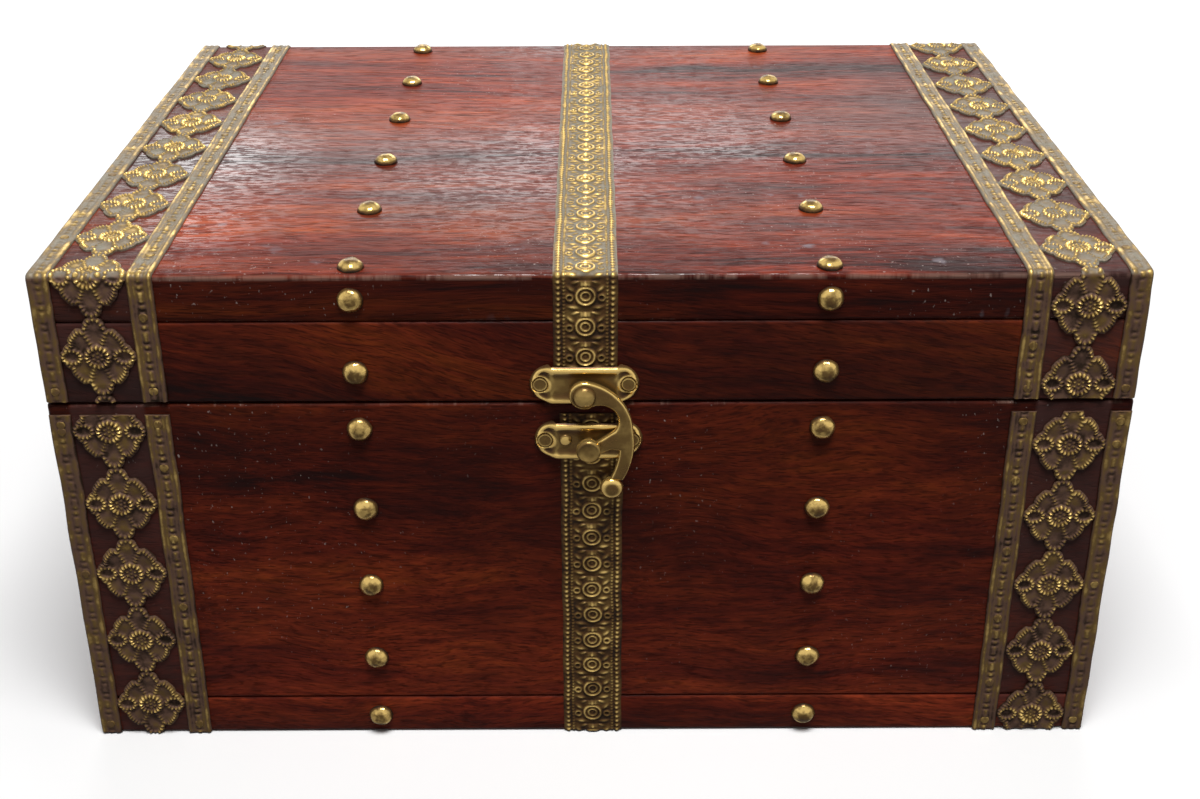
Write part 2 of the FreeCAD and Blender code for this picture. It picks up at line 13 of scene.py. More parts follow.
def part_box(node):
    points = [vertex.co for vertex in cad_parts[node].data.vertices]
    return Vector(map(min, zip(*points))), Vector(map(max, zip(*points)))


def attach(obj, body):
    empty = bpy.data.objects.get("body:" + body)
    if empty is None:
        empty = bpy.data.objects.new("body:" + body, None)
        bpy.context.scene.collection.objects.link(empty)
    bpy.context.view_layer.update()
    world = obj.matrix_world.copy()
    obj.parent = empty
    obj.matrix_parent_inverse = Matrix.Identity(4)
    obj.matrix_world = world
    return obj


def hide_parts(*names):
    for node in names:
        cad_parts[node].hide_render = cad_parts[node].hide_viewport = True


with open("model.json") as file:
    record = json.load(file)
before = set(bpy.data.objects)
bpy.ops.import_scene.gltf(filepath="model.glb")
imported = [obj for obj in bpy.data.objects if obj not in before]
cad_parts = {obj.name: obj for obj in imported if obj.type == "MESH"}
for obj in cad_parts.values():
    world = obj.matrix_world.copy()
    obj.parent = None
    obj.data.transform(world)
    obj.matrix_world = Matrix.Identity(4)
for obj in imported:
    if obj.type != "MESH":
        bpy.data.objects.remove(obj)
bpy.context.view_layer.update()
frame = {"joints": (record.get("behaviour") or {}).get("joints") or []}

bl_info = {
    "name": "Brass-bound Keepsake Box",
    "version": (1, 0, 0),
    "blender": (4, 5, 0),
    "location": "View3D > Sidebar > Keepsake Box",
    "description": "Dresses a keepsake box in lacquered boards, brass bands, nails and a hook clasp",
    "category": "Add Mesh",
}

# Places read from the frame, in metres

mm = 0.001
top_low, top_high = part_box("lid_top_board")
front_y = top_low.y
back_y = top_high.y
top_z = top_high.z
half_width = top_high.x
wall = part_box("front_wall")[1].y - front_y
seam_z = (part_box("front_wall")[1].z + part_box("lid_front_rail")[0].z) / 2
hinge_y = next(joint["pos_m"][1] for joint in frame["joints"] if joint["name"] == "lid_hinge")
lid_stop_angle = math.radians(106)
joint_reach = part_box("left_wall")[1].y
rivet_low, rivet_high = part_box("hook_rivet")
pivot = (rivet_low + rivet_high) / 2
post_low, post_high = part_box("catch_post")
post_middle = (post_low + post_high) / 2

# Pressed bands, in millimetres: across the strip from its field's middle, and along it from its foot

medallion_pitch = 23.8
field_half = 10.2
lozenge_along = 11.6
lozenge_across = 9.9
tip_cup = 9.2
tip_radius = 2.95
side_cup = 7.1
side_radius = 3.25
ear_flat = 1.2
tip_seam = math.radians(22)
side_seam = math.radians(63)
inner_rail = 7.0
outer_rail = 6.0
end_band_x = 133.4
boss_pitch = 9.1
centre_half = 8.7
relief_top = 1.3
front_depth = 1.45
band_turn = 1.0
lid_back_foot = 122.6
first_motif = {
    "left": {"base": 10.9, "lid": 14.0},
    "right": {"base": 5.6, "lid": 4.5},
    "centre": {"base": 6.8, "lid": 4.4},
}

# A strip over the lid, in millimetres: up the front, round a bend, over the top, round a bend, down the back

lid_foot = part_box("lid_band_left")[0].z / mm
lid_rise = top_z / mm - band_turn - lid_foot
lid_over = (back_y - front_y) / mm - 2 * band_turn
lid_fall = top_z / mm - band_turn - lid_back_foot
bend_length = band_turn * math.pi / 2
bend_starts = (lid_rise, lid_rise + bend_length + lid_over)
lid_bends = [start + bend_length * share / 3 for start in bend_starts for share in range(4)]
lid_length = lid_rise + lid_over + 2 * bend_length + lid_fall

# Dome nails: their column in metres, and their places up the faces and back over the top in millimetres

nail_column = 64.2 * mm
dent_seed = 5
nail_places = {
    "base_front": [6.5, 28.2, 54.5, 80.7, 107.0],
    "base_back": [6.5, 28.2, 51.7, 75.3, 98.8],
    "lid_front": [124.8, 146.7],
    "lid_back": [131.2, 146.7],
    "lid_top": [-100.3, -60.7, -21.2, 18.4, 57.9, 97.5],
}

# Turned pieces: radius and level in millimetres

nail_profile = [
    (3.45, 0.0), (3.6, 0.12), (3.6, 0.4), (3.45, 0.85), (3.12, 1.38), (2.6, 1.88),
    (1.95, 2.28), (1.2, 2.54), (0.45, 2.64),
]
pin_profile = [(2.0, 0.3), (2.1, 0.9), (2.0, 1.15), (1.75, 1.25), (1.5, 1.18), (1.2, 1.16), (0.4, 1.18)]
rivet_profile = [
    (1.75, 2.4), (1.75, 5.25), (3.2, 5.3), (3.2, 5.7), (2.95, 6.15), (2.5, 6.6), (1.85, 7.05),
    (1.1, 7.3), (0.4, 7.38),
]
post_profile = [
    (1.48, 2.0), (1.48, 5.4), (2.9, 5.55), (3.35, 5.85), (3.45, 6.4), (3.42, 7.2), (3.2, 7.7),
    (2.85, 7.95), (2.45, 7.9), (2.2, 7.75), (1.0, 7.85), (0.4, 7.88),
]
bump_profile = [(1.9, 1.2), (1.85, 1.9), (1.6, 2.3), (1.15, 2.58), (0.5, 2.7)]
button_profile = [
    (1.6, -1.7), (2.5, -1.5), (3.1, -0.8), (3.3, 0.0), (3.1, 0.8), (2.5, 1.5), (1.5, 1.72), (0.5, 1.75)]

# Grain: noise scales, how far it sways in metres, and the depth below the top in millimetres of the line of
# wear and painted highlight along its edge

broad_grain = 42.0
fine_grain = 260.0
pore_grain = 1500.0
brushed_grain = 620.0
patch_grain = 13.0
grain_sway = 0.024
wear_and_highlight_line = 0.95


def screen_colour(red, green, blue):
    """Scene-linear colour of a screen colour given from 0 to 255."""
    return tuple(((part / 255 + 0.055) / 1.055) ** 2.4 for part in (red, green, blue))


def colour_property(name, description, default):
    return FloatVectorProperty(
        name=name, description=description, subtype="COLOR", size=3, min=0, max=1, default=default)


def length_property(name, description, default):
    return FloatProperty(
        name=name, description=description, unit="LENGTH", min=0, default=default, precision=5)


class KeepsakeWood(PropertyGroup):
    """Colours of the lacquered hardwood."""

    streak: colour_property("Streak", "Dark lines and pores of the grain", screen_colour(46, 14, 11))
    ground: colour_property("Ground", "Most of the wood", screen_colour(106, 36, 22))
    heart: colour_property("Heart", "Lighter figure", screen_colour(138, 54, 29))
    flame: colour_property("Flame", "Orange-red figure", screen_colour(170, 76, 33))
    # the soil colour is dirt and painted shade on the wood seen through the bands
    soil_and_shade: colour_property("Soil and Shade", "Dirt on the wood behind the bands", screen_colour(70, 47, 44))
    # the scuff colour is pale wear and painted highlight along the edges
    scuff_and_highlight: colour_property("Scuff and Highlight", "Worn edges", screen_colour(178, 140, 124))
    dust: colour_property("Dust", "Flecks on the lacquer", screen_colour(206, 188, 180))
    smudge: colour_property("Smudge", "Dull grey spots on the top", screen_colour(122, 112, 118))


class KeepsakeBrass(PropertyGroup):
    """Colours of the aged brass."""

    # grime also paints shade at the foot of the relief
    grime_and_shade: colour_property("Grime and Shade", "Dirt at the foot of the relief", screen_colour(50, 36, 26))
    tarnish: colour_property("Tarnish", "Pinkish brown tarnish in the cups", screen_colour(106, 80, 67))
    umber: colour_property("Umber", "Warm brown ground of the centre bands", screen_colour(92, 64, 36))
    olive: colour_property("Olive", "Aged sheet", screen_colour(114, 89, 48))
    # bright also paints the highlights on the crests
    bright: colour_property("Bright", "Rubbed crests", screen_colour(218, 184, 110))
    # pale also paints the reflection of the bright sky on the top bands
    pale: colour_property("Pale", "Dusty bloom on what faces up", screen_colour(150, 146, 130))


class KeepsakeSizes(PropertyGroup):
    """Sizes of the finish."""

    board_ease: length_property("Board Ease", "Rounding of the boards' edges", 0.4 * mm)
    corner_ease: length_property("Corner Ease", "Rounding of the box's outer corners", 1.2 * mm)
    band_cell: length_property("Band Cell", "Mesh cell of the pierced end bands", 0.3 * mm)
    bead_cell: length_property("Bead Cell", "Mesh cell of the beaded centre bands", 0.24 * mm)
    nail_dent: length_property("Nail Dent", "Depth of the dents in the dome nails", 0.2 * mm)
    brad_radius: length_property("Brad Radius", "Radius of the brads in the bands' rails", 1.35 * mm)


# Selecting and editing

def select_only(piece):
    bpy.ops.object.select_all(action="DESELECT")
    piece.select_set(True)
    bpy.context.view_layer.objects.active = piece


def start_edit(piece, kind, chosen=None):
    """Enter edit mode on vertices, edges or faces, with the chosen ones selected, or all of them."""
    select_only(piece)
    bpy.ops.object.mode_set(mode="EDIT")
    bpy.ops.mesh.select_mode(type=kind)
    if chosen is None:
        bpy.ops.mesh.select_all(action="SELECT")
        return
    bpy.ops.mesh.select_all(action="DESELECT")
    bpy.ops.object.mode_set(mode="OBJECT")
    parts = {"VERT": piece.data.vertices, "EDGE": piece.data.edges, "FACE": piece.data.polygons}[kind]
    parts.foreach_set("select", np.asarray(chosen, dtype=bool))
    bpy.ops.object.mode_set(mode="EDIT")


def end_edit():
    bpy.ops.object.mode_set(mode="OBJECT")


def field_of(items, field, width, kind=np.float32):
    """One row of a field's values for each vertex, edge, loop or face."""
    values = np.empty(len(items) * width, dtype=kind)
    items.foreach_get(field, values)
    return values.reshape(-1, width)


def points_of(piece):
    return field_of(piece.data.vertices, "co", 3).astype(float)


def set_points(piece, points):
    piece.data.vertices.foreach_set("co", np.asarray(points, dtype=np.float32).ravel())
    piece.data.update()


def edge_ends(piece):
    return field_of(piece.data.edges, "vertices", 2, np.int32)


def faces_per_edge(piece):
    used = field_of(piece.data.loops, "edge_index", 1, np.int32)
    return np.bincount(used.ravel(), minlength=len(piece.data.edges))


def face_middles(piece):
    return field_of(piece.data.polygons, "center", 3)


def apply_modifier(piece, kind, **settings):
    change = piece.modifiers.new(kind.lower(), kind)
    for name, value in settings.items():
        setattr(change, name, value)
    select_only(piece)
    bpy.ops.object.modifier_apply(modifier=change.name)


def carve(piece, cutter):
    apply_modifier(piece, "BOOLEAN", operation="DIFFERENCE", object=cutter, solver="EXACT")
    bpy.data.objects.remove(cutter)


def face_outwards(piece):
    start_edit(piece, "FACE")
    bpy.ops.mesh.remove_doubles(threshold=0.000002)
    bpy.ops.mesh.normals_make_consistent(inside=False)
    end_edit()


def copy_of(piece, name):
    twin = piece.copy()
    twin.data = piece.data.copy()
    twin.name = name
    bpy.context.scene.collection.objects.link(twin)
    return twin


def joined(name, pieces):
    select_only(pieces[0])
    for piece in pieces[1:]:
        piece.select_set(True)
    bpy.ops.object.join()
    whole = bpy.context.object
    whole.name = name
    return whole


def finish_piece(piece, body, nodes, material, smooth_angle=40):
    """Give a piece its finish and its body, and hide the nodes that it stands for."""
    piece.data.materials.clear()
    piece.data.materials.append(material)
    select_only(piece)
    bpy.ops.object.shade_smooth_by_angle(angle=math.radians(smooth_angle))
    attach(piece, body)
    if nodes:
        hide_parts(*nodes)
    return piece


def to_front(x, z, proud=0.0):
    """Turns a piece modelled facing up to face out of the front."""
    return Matrix.Translation((x, front_y - proud, z)) @ Matrix.Rotation(math.pi / 2, 4, "X")


def to_back(x, z, proud=0.0):
    return Matrix.Translation((x, back_y + proud, z)) @ Matrix.Rotation(-math.pi / 2, 4, "X")


def block(name, low, high):
    bpy.ops.object.select_all(action="DESELECT")
    low = Vector(low)
    high = Vector(high)
    bpy.ops.mesh.primitive_cube_add(size=1, location=(low + high) / 2, scale=high - low)
    piece = bpy.context.object
    piece.name = name
    bpy.ops.object.transform_apply(location=True, rotation=True, scale=True)
    return piece


def turned(name, sides, profile):
    """A round piece drawn out of a disc, ring by ring; the profile is radius and level in millimetres."""
    bpy.ops.object.select_all(action="DESELECT")
    radius, level = profile[0]
    bpy.ops.mesh.primitive_circle_add(
        vertices=sides, radius=radius * mm, fill_type="NGON", location=(0, 0, level * mm),
        enter_editmode=True)
    for next_radius, next_level in profile[1:]:
        rise = (next_level - level) * mm
        bpy.ops.mesh.extrude_region_move(TRANSFORM_OT_translate={"value": (0, 0, rise)})
        share = next_radius / radius
        bpy.ops.transform.resize(value=(share, share, 1), center_override=(0, 0, next_level * mm))
        radius, level = next_radius, next_level
    end_edit()
    piece = bpy.context.object
    piece.name = name
    bpy.ops.object.transform_apply(location=True, rotation=True, scale=True)
    face_outwards(piece)
    return piece


# Shader helpers

def feed(tree, node, inputs):
    """Set a node's inputs; each is a value or the socket that feeds it."""
    for name, value in inputs.items():
        if isinstance(value, bpy.types.NodeSocket):
            tree.links.new(value, node.inputs[name])
        else:
            node.inputs[name].default_value = value


def put(tree, kind, inputs=None, **settings):
    node = tree.nodes.new(kind)
    for name, value in settings.items():
        setattr(node, name, value)
    feed(tree, node, inputs or {})
    return node


def combined(tree, operation, values):
    """Values put together by one operation, in turn."""
    total = values[0]
    for value in values[1:]:
        total = put(tree, "ShaderNodeMath", {0: total, 1: value}, operation=operation).outputs[0]
    return total


def times(tree, *values):
    return combined(tree, "MULTIPLY", values)


def plus(tree, *values):
    return combined(tree, "ADD", values)


def minus(tree, *values):
    return combined(tree, "SUBTRACT", values)


def larger(tree, *values):
    return combined(tree, "MAXIMUM", values)


def size_of(tree, value):
    """A value without its sign."""
    return put(tree, "ShaderNodeMath", {0: value}, operation="ABSOLUTE").outputs[0]


def parts_of(tree, vector):
    return put(tree, "ShaderNodeSeparateXYZ", {"Vector": vector}).outputs


def span(tree, value, low, high, new_low=0.0, new_high=1.0):
    settings = {"Value": value, "From Min": low, "From Max": high, "To Min": new_low, "To Max": new_high}
    return put(tree, "ShaderNodeMapRange", settings).outputs["Result"]


def opaque(colour):
    """A colour with full alpha; a socket stays as it is."""
    return colour if isinstance(colour, bpy.types.NodeSocket) else (*colour, 1)


def mixed(tree, share, first, second, blend="MIX"):
    """Two colours mixed; the node's colour sockets are its seventh and eighth inputs and its third output."""
    inputs = {0: share, 6: opaque(first), 7: opaque(second)}
    return put(tree, "ShaderNodeMix", inputs, data_type="RGBA", blend_type=blend).outputs[2]


def ramp(tree, value, stops):
    node = put(tree, "ShaderNodeValToRGB", {"Fac": value})
    marks = node.color_ramp.elements
    while len(marks) < len(stops):
        marks.new(0.5)
    for mark, (position, colour) in zip(marks, stops):
        mark.position = position
        mark.color = (*colour, 1)
    return node.outputs["Color"]


def noise_of(tree, vector, scale, detail=2.0, roughness=0.5, output="Fac"):
    inputs = {"Vector": vector, "Scale": scale, "Detail": detail, "Roughness": roughness}
    return put(tree, "ShaderNodeTexNoise", inputs).outputs[output]


def stretched(tree, vector, scale, turn=(0, 0, 0), shift=(0, 0, 0)):
    inputs = {"Vector": vector, "Scale": scale, "Rotation": turn, "Location": shift}
    return put(tree, "ShaderNodeMapping", inputs).outputs["Vector"]


def place_group(tree, fill, **inputs):
    """Place the node group that a function fills; the group is made at its first use."""
    group = bpy.data.node_groups.get(fill.__name__)
    if group is None:
        group = bpy.data.node_groups.new(fill.__name__, "ShaderNodeTree")
        for label in inputs:
            kind = "NodeSocketVector" if label == "Vector" else "NodeSocketFloat"
            group.interface.new_socket(label, in_out="INPUT", socket_type=kind)
        ends = fill(group, put(group, "NodeGroupInput").outputs)
        for label in ends:
            group.interface.new_socket(label, in_out="OUTPUT", socket_type="NodeSocketFloat")
        put(group, "NodeGroupOutput", ends)
    return put(tree, "ShaderNodeGroup", inputs, node_tree=group).outputs


def above(tree, value, threshold):
    """From none to one, a short way above the threshold."""
    return span(tree, times(tree, minus(tree, value, threshold), 8.0), 0, 1)


# Node groups: each function fills one and gives its outputs

def wood_figure(tree, start):
    """Grain that runs along X: figure, pores, fine brushing and drifting patches."""
    place = start["Vector"]
    sway = noise_of(tree, stretched(tree, place, (0.35, 1, 1)), 16.0, output="Color")
    offset = put(tree, "ShaderNodeVectorMath", {0: sway, 1: (0.5, 0.5, 0.5)}, operation="SUBTRACT").outputs[0]
    pull = put(tree, "ShaderNodeVectorMath", {0: offset, "Scale": grain_sway}, operation="SCALE").outputs[0]
    bent = put(tree, "ShaderNodeVectorMath", {0: place, 1: pull}, operation="ADD").outputs[0]
    long_grain = stretched(tree, bent, (0.07, 1, 1))
    broad = noise_of(tree, long_grain, broad_grain, 3.0)
    fine = noise_of(tree, long_grain, fine_grain, 6.0, 0.68)
    short_grain = stretched(tree, bent, (0.085, 1, 1))
    return {
        "Figure": plus(tree, times(tree, broad, 0.55), times(tree, fine, 0.45)),
        "Pores": span(tree, noise_of(tree, short_grain, pore_grain, 1.0), 0.53, 0.66),
        "Brushing": noise_of(tree, short_grain, brushed_grain, 3.0, 0.7),
        "Patches": noise_of(tree, stretched(tree, place, (0.45, 1, 1)), patch_grain, 3.0),
    }


def dust_specks(tree, start):
    """Scattered flecks: the higher the threshold, the fewer; the lower the scale, the larger."""
    fine = noise_of(tree, stretched(tree, start["Vector"], (1, 1, 0.7)), start["Scale"], 2.0, 0.6)
    drift = noise_of(tree, start["Vector"], 15.0)
    return {"Specks": times(tree, span(tree, fine, 0.67, 0.75), above(tree, drift, start["Threshold"]))}


def band_soil_and_shade(tree, start):
    """Where the wood shows through the pierced end bands: its dirt there, and painted shade under the bands.
    """
    across = parts_of(tree, start["Vector"])["X"]
    off = size_of(tree, minus(tree, size_of(tree, across), end_band_x * mm))
    behind = span(tree, off, (field_half + 0.6) * mm, (field_half - 0.4) * mm)
    drift = noise_of(tree, start["Vector"], 120.0, 4.0, 0.6)
    return {"Soil and Shade": times(tree, behind, span(tree, drift, 0.3, 0.7, 0.55, 1.0))}


def edge_scuffs_and_highlights(tree, start):
    """Worn dashes and painted highlight along a level edge of a board; the lower the threshold, the longer
    they run.
    """
    height = parts_of(tree, start["Vector"])["Z"]
    near = span(tree, size_of(tree, minus(tree, height, start["Level"])), 0.9 * mm, 0.3 * mm)
    dashes = noise_of(tree, stretched(tree, start["Vector"], (1, 0.1, 0.1)), 85.0, 5.0, 0.75)
    return {"Scuffs and Highlights": times(tree, near, above(tree, dashes, start["Threshold"]))}


def brass_age(tree, start):
    """Tarnish that drifts over brass, and its fine scratches."""
    tarnish = noise_of(tree, start["Vector"], start["Scale"], 4.0, 0.62)
    scratches = noise_of(tree, stretched(tree, start["Vector"], (1, 0.2, 1)), 2200.0)
    return {"Tarnish": span(tree, tarnish, 0.35, 0.68), "Scratches": scratches}


# Materials

def new_material(name):
    material = bpy.data.materials.new(name)
    material.use_nodes = True
    tree = material.node_tree
    place = put(tree, "ShaderNodeTexCoord").outputs["Object"]
    return material, tree, tree.nodes["Principled BSDF"], place


def bump(tree, height, strength, distance):
    inputs = {"Height": height, "Strength": strength, "Distance": distance}
    return put(tree, "ShaderNodeBump", inputs).outputs["Normal"]


def tone(colour, share):
    return tuple(part * share for part in colour)


def top_sheen(tree, place, across, upward, shift):
    """Gloss of the top: strongest in its middle and at its left end, and broken up by drift and ripple."""
    drift = noise_of(tree, stretched(tree, place, (0.7, 1, 1), shift=shift), 8.0, 3.0, 0.6)
    middle = span(tree, size_of(tree, across), 0.02, 0.075, 1.5, 0.3)
    handled = plus(tree, middle, span(tree, across, -0.08, -0.115, 0.0, 0.9))
    ripple = noise_of(tree, stretched(tree, place, (0.25, 1, 1)), 1100.0, 2.0, 0.6)
    patchy = span(tree, drift, 0.36, 0.64, 0.15, 1.0)
    return times(tree, upward, patchy, handled, span(tree, ripple, 0.46, 0.57, 0.05, 1.0))


def rosewood(
        name, shift, turn=(0, 0, 0), lift=1.0, warm=0.0, run=1.0, dust=0.0, painted_top_shade=0.0, edge=None,
        glossy=False):
    """Lacquered hardwood: warm brings out the flame figure, and the dusk setting paints shade that darkens
    the upper part.
    """
    wood = bpy.context.scene.keepsake_wood
    material, tree, shader, place = new_material(name)
    across, depth, height = parts_of(tree, place)
    on_face = span(tree, size_of(tree, depth), back_y - 2 * mm, back_y - 1.2 * mm)
    outside = larger(tree, on_face, span(tree, height, top_z - 2 * mm, top_z - 1.2 * mm))
    grain = place_group(tree, wood_figure, Vector=stretched(tree, place, (run, 1, 1), turn, shift))
    stops = [
        (0.33 + 0.05 * warm, wood.streak), (0.45, wood.ground),
        (0.57 - 0.04 * warm, wood.heart), (0.70 - 0.06 * warm, wood.flame),
    ]
    figure = ramp(tree, grain["Figure"], [(mark, tone(colour, lift)) for mark, colour in stops])
    shade = times(
        tree, span(tree, grain["Patches"], 0.32, 0.68, 0.5, 1.3),
        # painted shade: lighter at the foot of the board and darker towards its top
        span(tree, height, 0.015, 0.1, 1 + 0.4 * painted_top_shade, 1 - painted_top_shade),
        span(tree, grain["Brushing"], 0.35, 0.65, 0.6, 1.34))
    if glossy:
        upward = span(tree, height, top_z - 1.3 * mm, top_z - 0.3 * mm)
        # painted shade: the board's sides below its top face are darkened
        shade = times(tree, shade, span(tree, upward, 0, 1, 0.34, 1.0))
    shades = put(tree, "ShaderNodeCombineColor", {0: shade, 1: shade, 2: shade}).outputs[0]
    colour = mixed(tree, 1.0, figure, shades, "MULTIPLY")

    def covered(layer, *shares):
        return mixed(tree, times(tree, *shares), colour, layer)

    colour = covered(tone(wood.streak, 0.6 * lift), grain["Pores"], 0.48)
    soil_and_shade = place_group(tree, band_soil_and_shade, Vector=place)["Soil and Shade"]
    # dirt and painted shade on the wood seen through the pierced bands
    colour = covered(wood.soil_and_shade, soil_and_shade, outside, 0.8)
    if glossy:
        # wear and painted highlight: a pale line along the top's front edge
        level = top_z - wear_and_highlight_line * mm
        wear_and_painted_light = place_group(tree, edge_scuffs_and_highlights, Vector=place, Level=level, Threshold=0.4)["Scuffs and Highlights"]
        colour = covered(wood.scuff_and_highlight, wear_and_painted_light, 0.35)
        smudges = place_group(tree, dust_specks, Vector=place, Threshold=0.46, Scale=110.0)["Specks"]
        colour = covered(wood.smudge, smudges, outside, 0.7)
    if edge is not None:
        # wear and painted highlight along the seam
        scuffs_and_highlights = place_group(tree, edge_scuffs_and_highlights, Vector=place, Level=edge, Threshold=0.54)["Scuffs and Highlights"]
        colour = covered(wood.scuff_and_highlight, scuffs_and_highlights, on_face, 0.45)
    if dust:
        threshold = 0.62 - 0.3 * dust
        specks = place_group(tree, dust_specks, Vector=place, Threshold=threshold, Scale=820.0)["Specks"]
        colour = covered(wood.dust, specks, outside, 0.5)
    rough = span(tree, grain["Patches"], 0.35, 0.65, 0.34, 0.5)
    relief = minus(tree, times(tree, grain["Figure"], 0.4), grain["Pores"])
    feed(tree, shader, {
        "Base Color": colour,
        "Roughness": plus(tree, rough, times(tree, grain["Pores"], 0.2)),
        "Specular IOR Level": 0.08,
        "Normal": bump(tree, relief, 0.35, 0.00012),
    })
    if glossy:
        sheen = top_sheen(tree, place, across, upward, shift)
        feed(tree, shader, {"Coat Weight": sheen, "Coat Roughness": 0.14})
    return material


def aged_brass(name, scale, worn=0.0, rough=0.34, metal=0.4, blotch=0.34, bloom=0.0, warm=False, marked=True):
    """Brass whose hollows keep their dirt and painted shade; the rubbed attribute says where hands have
    brightened it and where highlights are painted.
    """
    brass = bpy.context.scene.keepsake_brass
    material, tree, shader, place = new_material(name)
    age = place_group(tree, brass_age, Vector=place, Scale=scale)
    if marked:
        wear_and_painted_light = put(tree, "ShaderNodeAttribute", attribute_name="wear_and_painted_light").outputs["Fac"]
        blotches = span(tree, age["Tarnish"], 0, 1, worn + 0.4 * blotch, worn - 0.6 * blotch)
        level = plus(tree, wear_and_painted_light, blotches)
    else:
        level = span(tree, age["Tarnish"], 0, 1, 0.78 + worn, 0.5 + worn)
    if bloom:
        upward = span(tree, parts_of(tree, place)["Z"], top_z - 0.6 * mm, top_z + 0.2 * mm)
        # painted highlight: brass that faces up near the top is brightened
        level = plus(tree, level, times(tree, upward, 0.13))
    dirt = brass.umber if warm else brass.tarnish
    # the ramp darkens low marks as dirt and painted shade and brightens high ones as wear and painted
    # highlight
    stops = [(0.12, brass.grime_and_shade), (0.34, dirt), (0.58, brass.olive), (0.95, brass.bright)]
    colour = ramp(tree, level, stops)
    bare = span(tree, level, 0.25, 0.9, 0.12 * metal, metal)
    if bloom:
        # dust and painted pale reflection of the bright sky over the hollows that face up
        hollow = span(tree, level, 0.4, 0.7, bloom, 0)
        dust = times(tree, upward, hollow, span(tree, age["Tarnish"], 0, 1, 0.4, 1))
        colour = mixed(tree, dust, colour, brass.pale)
        bare = plus(tree, bare, times(tree, upward, span(tree, level, 0.55, 0.85, 0, 0.4)))
    feed(tree, shader, {
        "Base Color": colour,
        "Metallic": bare,
        "Roughness": span(tree, level, 0.2, 0.9, rough + 0.24, rough),
        "Specular IOR Level": 0.12,
        "Normal": bump(tree, plus(tree, age["Scratches"], age["Tarnish"]), 0.25, 0.00008),
    })
    return material


def material_named(name, make, **settings):
    return bpy.data.materials.get(name) or make(name, **settings)


# Boards

def at(value, target):
    return abs(value - target) < 0.05 * mm


def outer_edge(a, b):
    """Whether an edge between two points lies at an outer corner of the box or round its top."""
    faces = ((0, half_width), (1, back_y), (2, top_z))
    return sum(at(abs(a[axis]), reach) and at(abs(b[axis]), reach) for axis, reach in faces) > 1


def board(node):
    """A board with its rebates, its rounded outer corners and lightly eased edges."""
    sizes = bpy.context.scene.keepsake_sizes
    low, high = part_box(node)
    piece = block(node + "_wood", low, high)
    is_rail = high.x > half_width - mm and low.x < mm - half_width and high.y - low.y < 2 * wall
    if is_rail:
        for end in (-1, 1):
            xs = sorted((end * (half_width - wall), end * (half_width + mm)))
            rebate_low = (xs[0], -joint_reach, low.z - mm)
            carve(piece, block("rebate", rebate_low, (xs[1], joint_reach, high.z + mm)))
    if is_rail and low.y > 0:
        plane_back_edge(piece, -1 if high.z < seam_z else 1)
        let_in_hinges(piece)
    points = points_of(piece)
    start_edit(piece, "EDGE", [outer_edge(points[a], points[b]) for a, b in edge_ends(piece)])
    bpy.ops.mesh.bevel(offset=sizes.corner_ease, segments=3, affect="EDGES")
    end_edit()
    start_edit(piece, "EDGE", np.zeros(len(piece.data.edges)))
    bpy.ops.mesh.edges_select_sharp(sharpness=math.radians(55))
    bpy.ops.mesh.bevel(offset=sizes.board_ease, segments=2, affect="EDGES")
    end_edit()
    return piece


def plane_back_edge(piece, side):
    """Plane the slope that lets the lid lean back; side is -1 for the base and 1 for the lid."""
    lean = lid_stop_angle / 2
    slope = (0, math.sin(lean), -side * math.cos(lean))
    start_edit(piece, "FACE")
    bpy.ops.mesh.bisect(plane_co=(0, hinge_y, seam_z), plane_no=slope, use_fill=True, clear_outer=True)
    end_edit()


def let_in_hinges(piece):
    """Cut the mortises of the leaves and the hollows of the barrels."""
    for side in ("left", "right"):
        low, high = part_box(side + "_hinge_base_leaf")
        middle = (low + high) / 2
        leaf = 1.4 * mm
        carve(piece, block("mortise", (low.x, low.y, seam_z - leaf), (high.x, hinge_y, seam_z + leaf)))
        pin_low, pin_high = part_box(side + "_hinge_pin")
        bpy.ops.object.select_all(action="DESELECT")
        bpy.ops.mesh.primitive_cylinder_add(
            vertices=32, radius=2.7 * mm, depth=pin_high.x - pin_low.x + 0.6 * mm,
            location=(middle.x, hinge_y, seam_z), rotation=(0, math.pi / 2, 0))
        carve(piece, bpy.context.object)


def wood_for(node):
    """The wood of a board: each board that shows has its own cut."""
    low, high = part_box(node)
    cuts = {
        "lid_top_board": dict(
            name="rosewood_top", shift=(0.31, 0.12, 0.07), lift=0.95, warm=0.9, dust=0.6, edge=low.z,
            glossy=True),
        "lid_front_rail": dict(
            name="rosewood_lid_front", shift=(0.9, 0.4, 0.2), turn=(0, math.radians(-7), 0), lift=0.54,
            warm=0.8, run=1.6, edge=low.z),
        "front_wall": dict(
            name="rosewood_front", shift=(0.05, 0.6, 0.33), lift=0.8, warm=0.3, run=1.9, dust=0.3, painted_top_shade=0.6,
            edge=high.z),
        "base_board": dict(name="rosewood_foot", shift=(0.2, 0.5, 0.1), lift=1.15, warm=0.4, run=1.9),
    }
    plain = dict(name="rosewood_plain", shift=(0.7, 0.2, 0.9))
    if "left" in node or "right" in node:
        plain = dict(
            name="rosewood_ends", shift=(0.4, 0.1, 0.6), turn=(0, 0, math.pi / 2), lift=0.9, painted_top_shade=0.15)
    return material_named(make=rosewood, **cuts.get(node, plain))


base_boards = ["base_board", "front_wall", "back_wall", "left_wall", "right_wall"]
lid_boards = ["lid_top_board", "lid_front_rail", "lid_back_rail", "lid_left_rail", "lid_right_rail"]


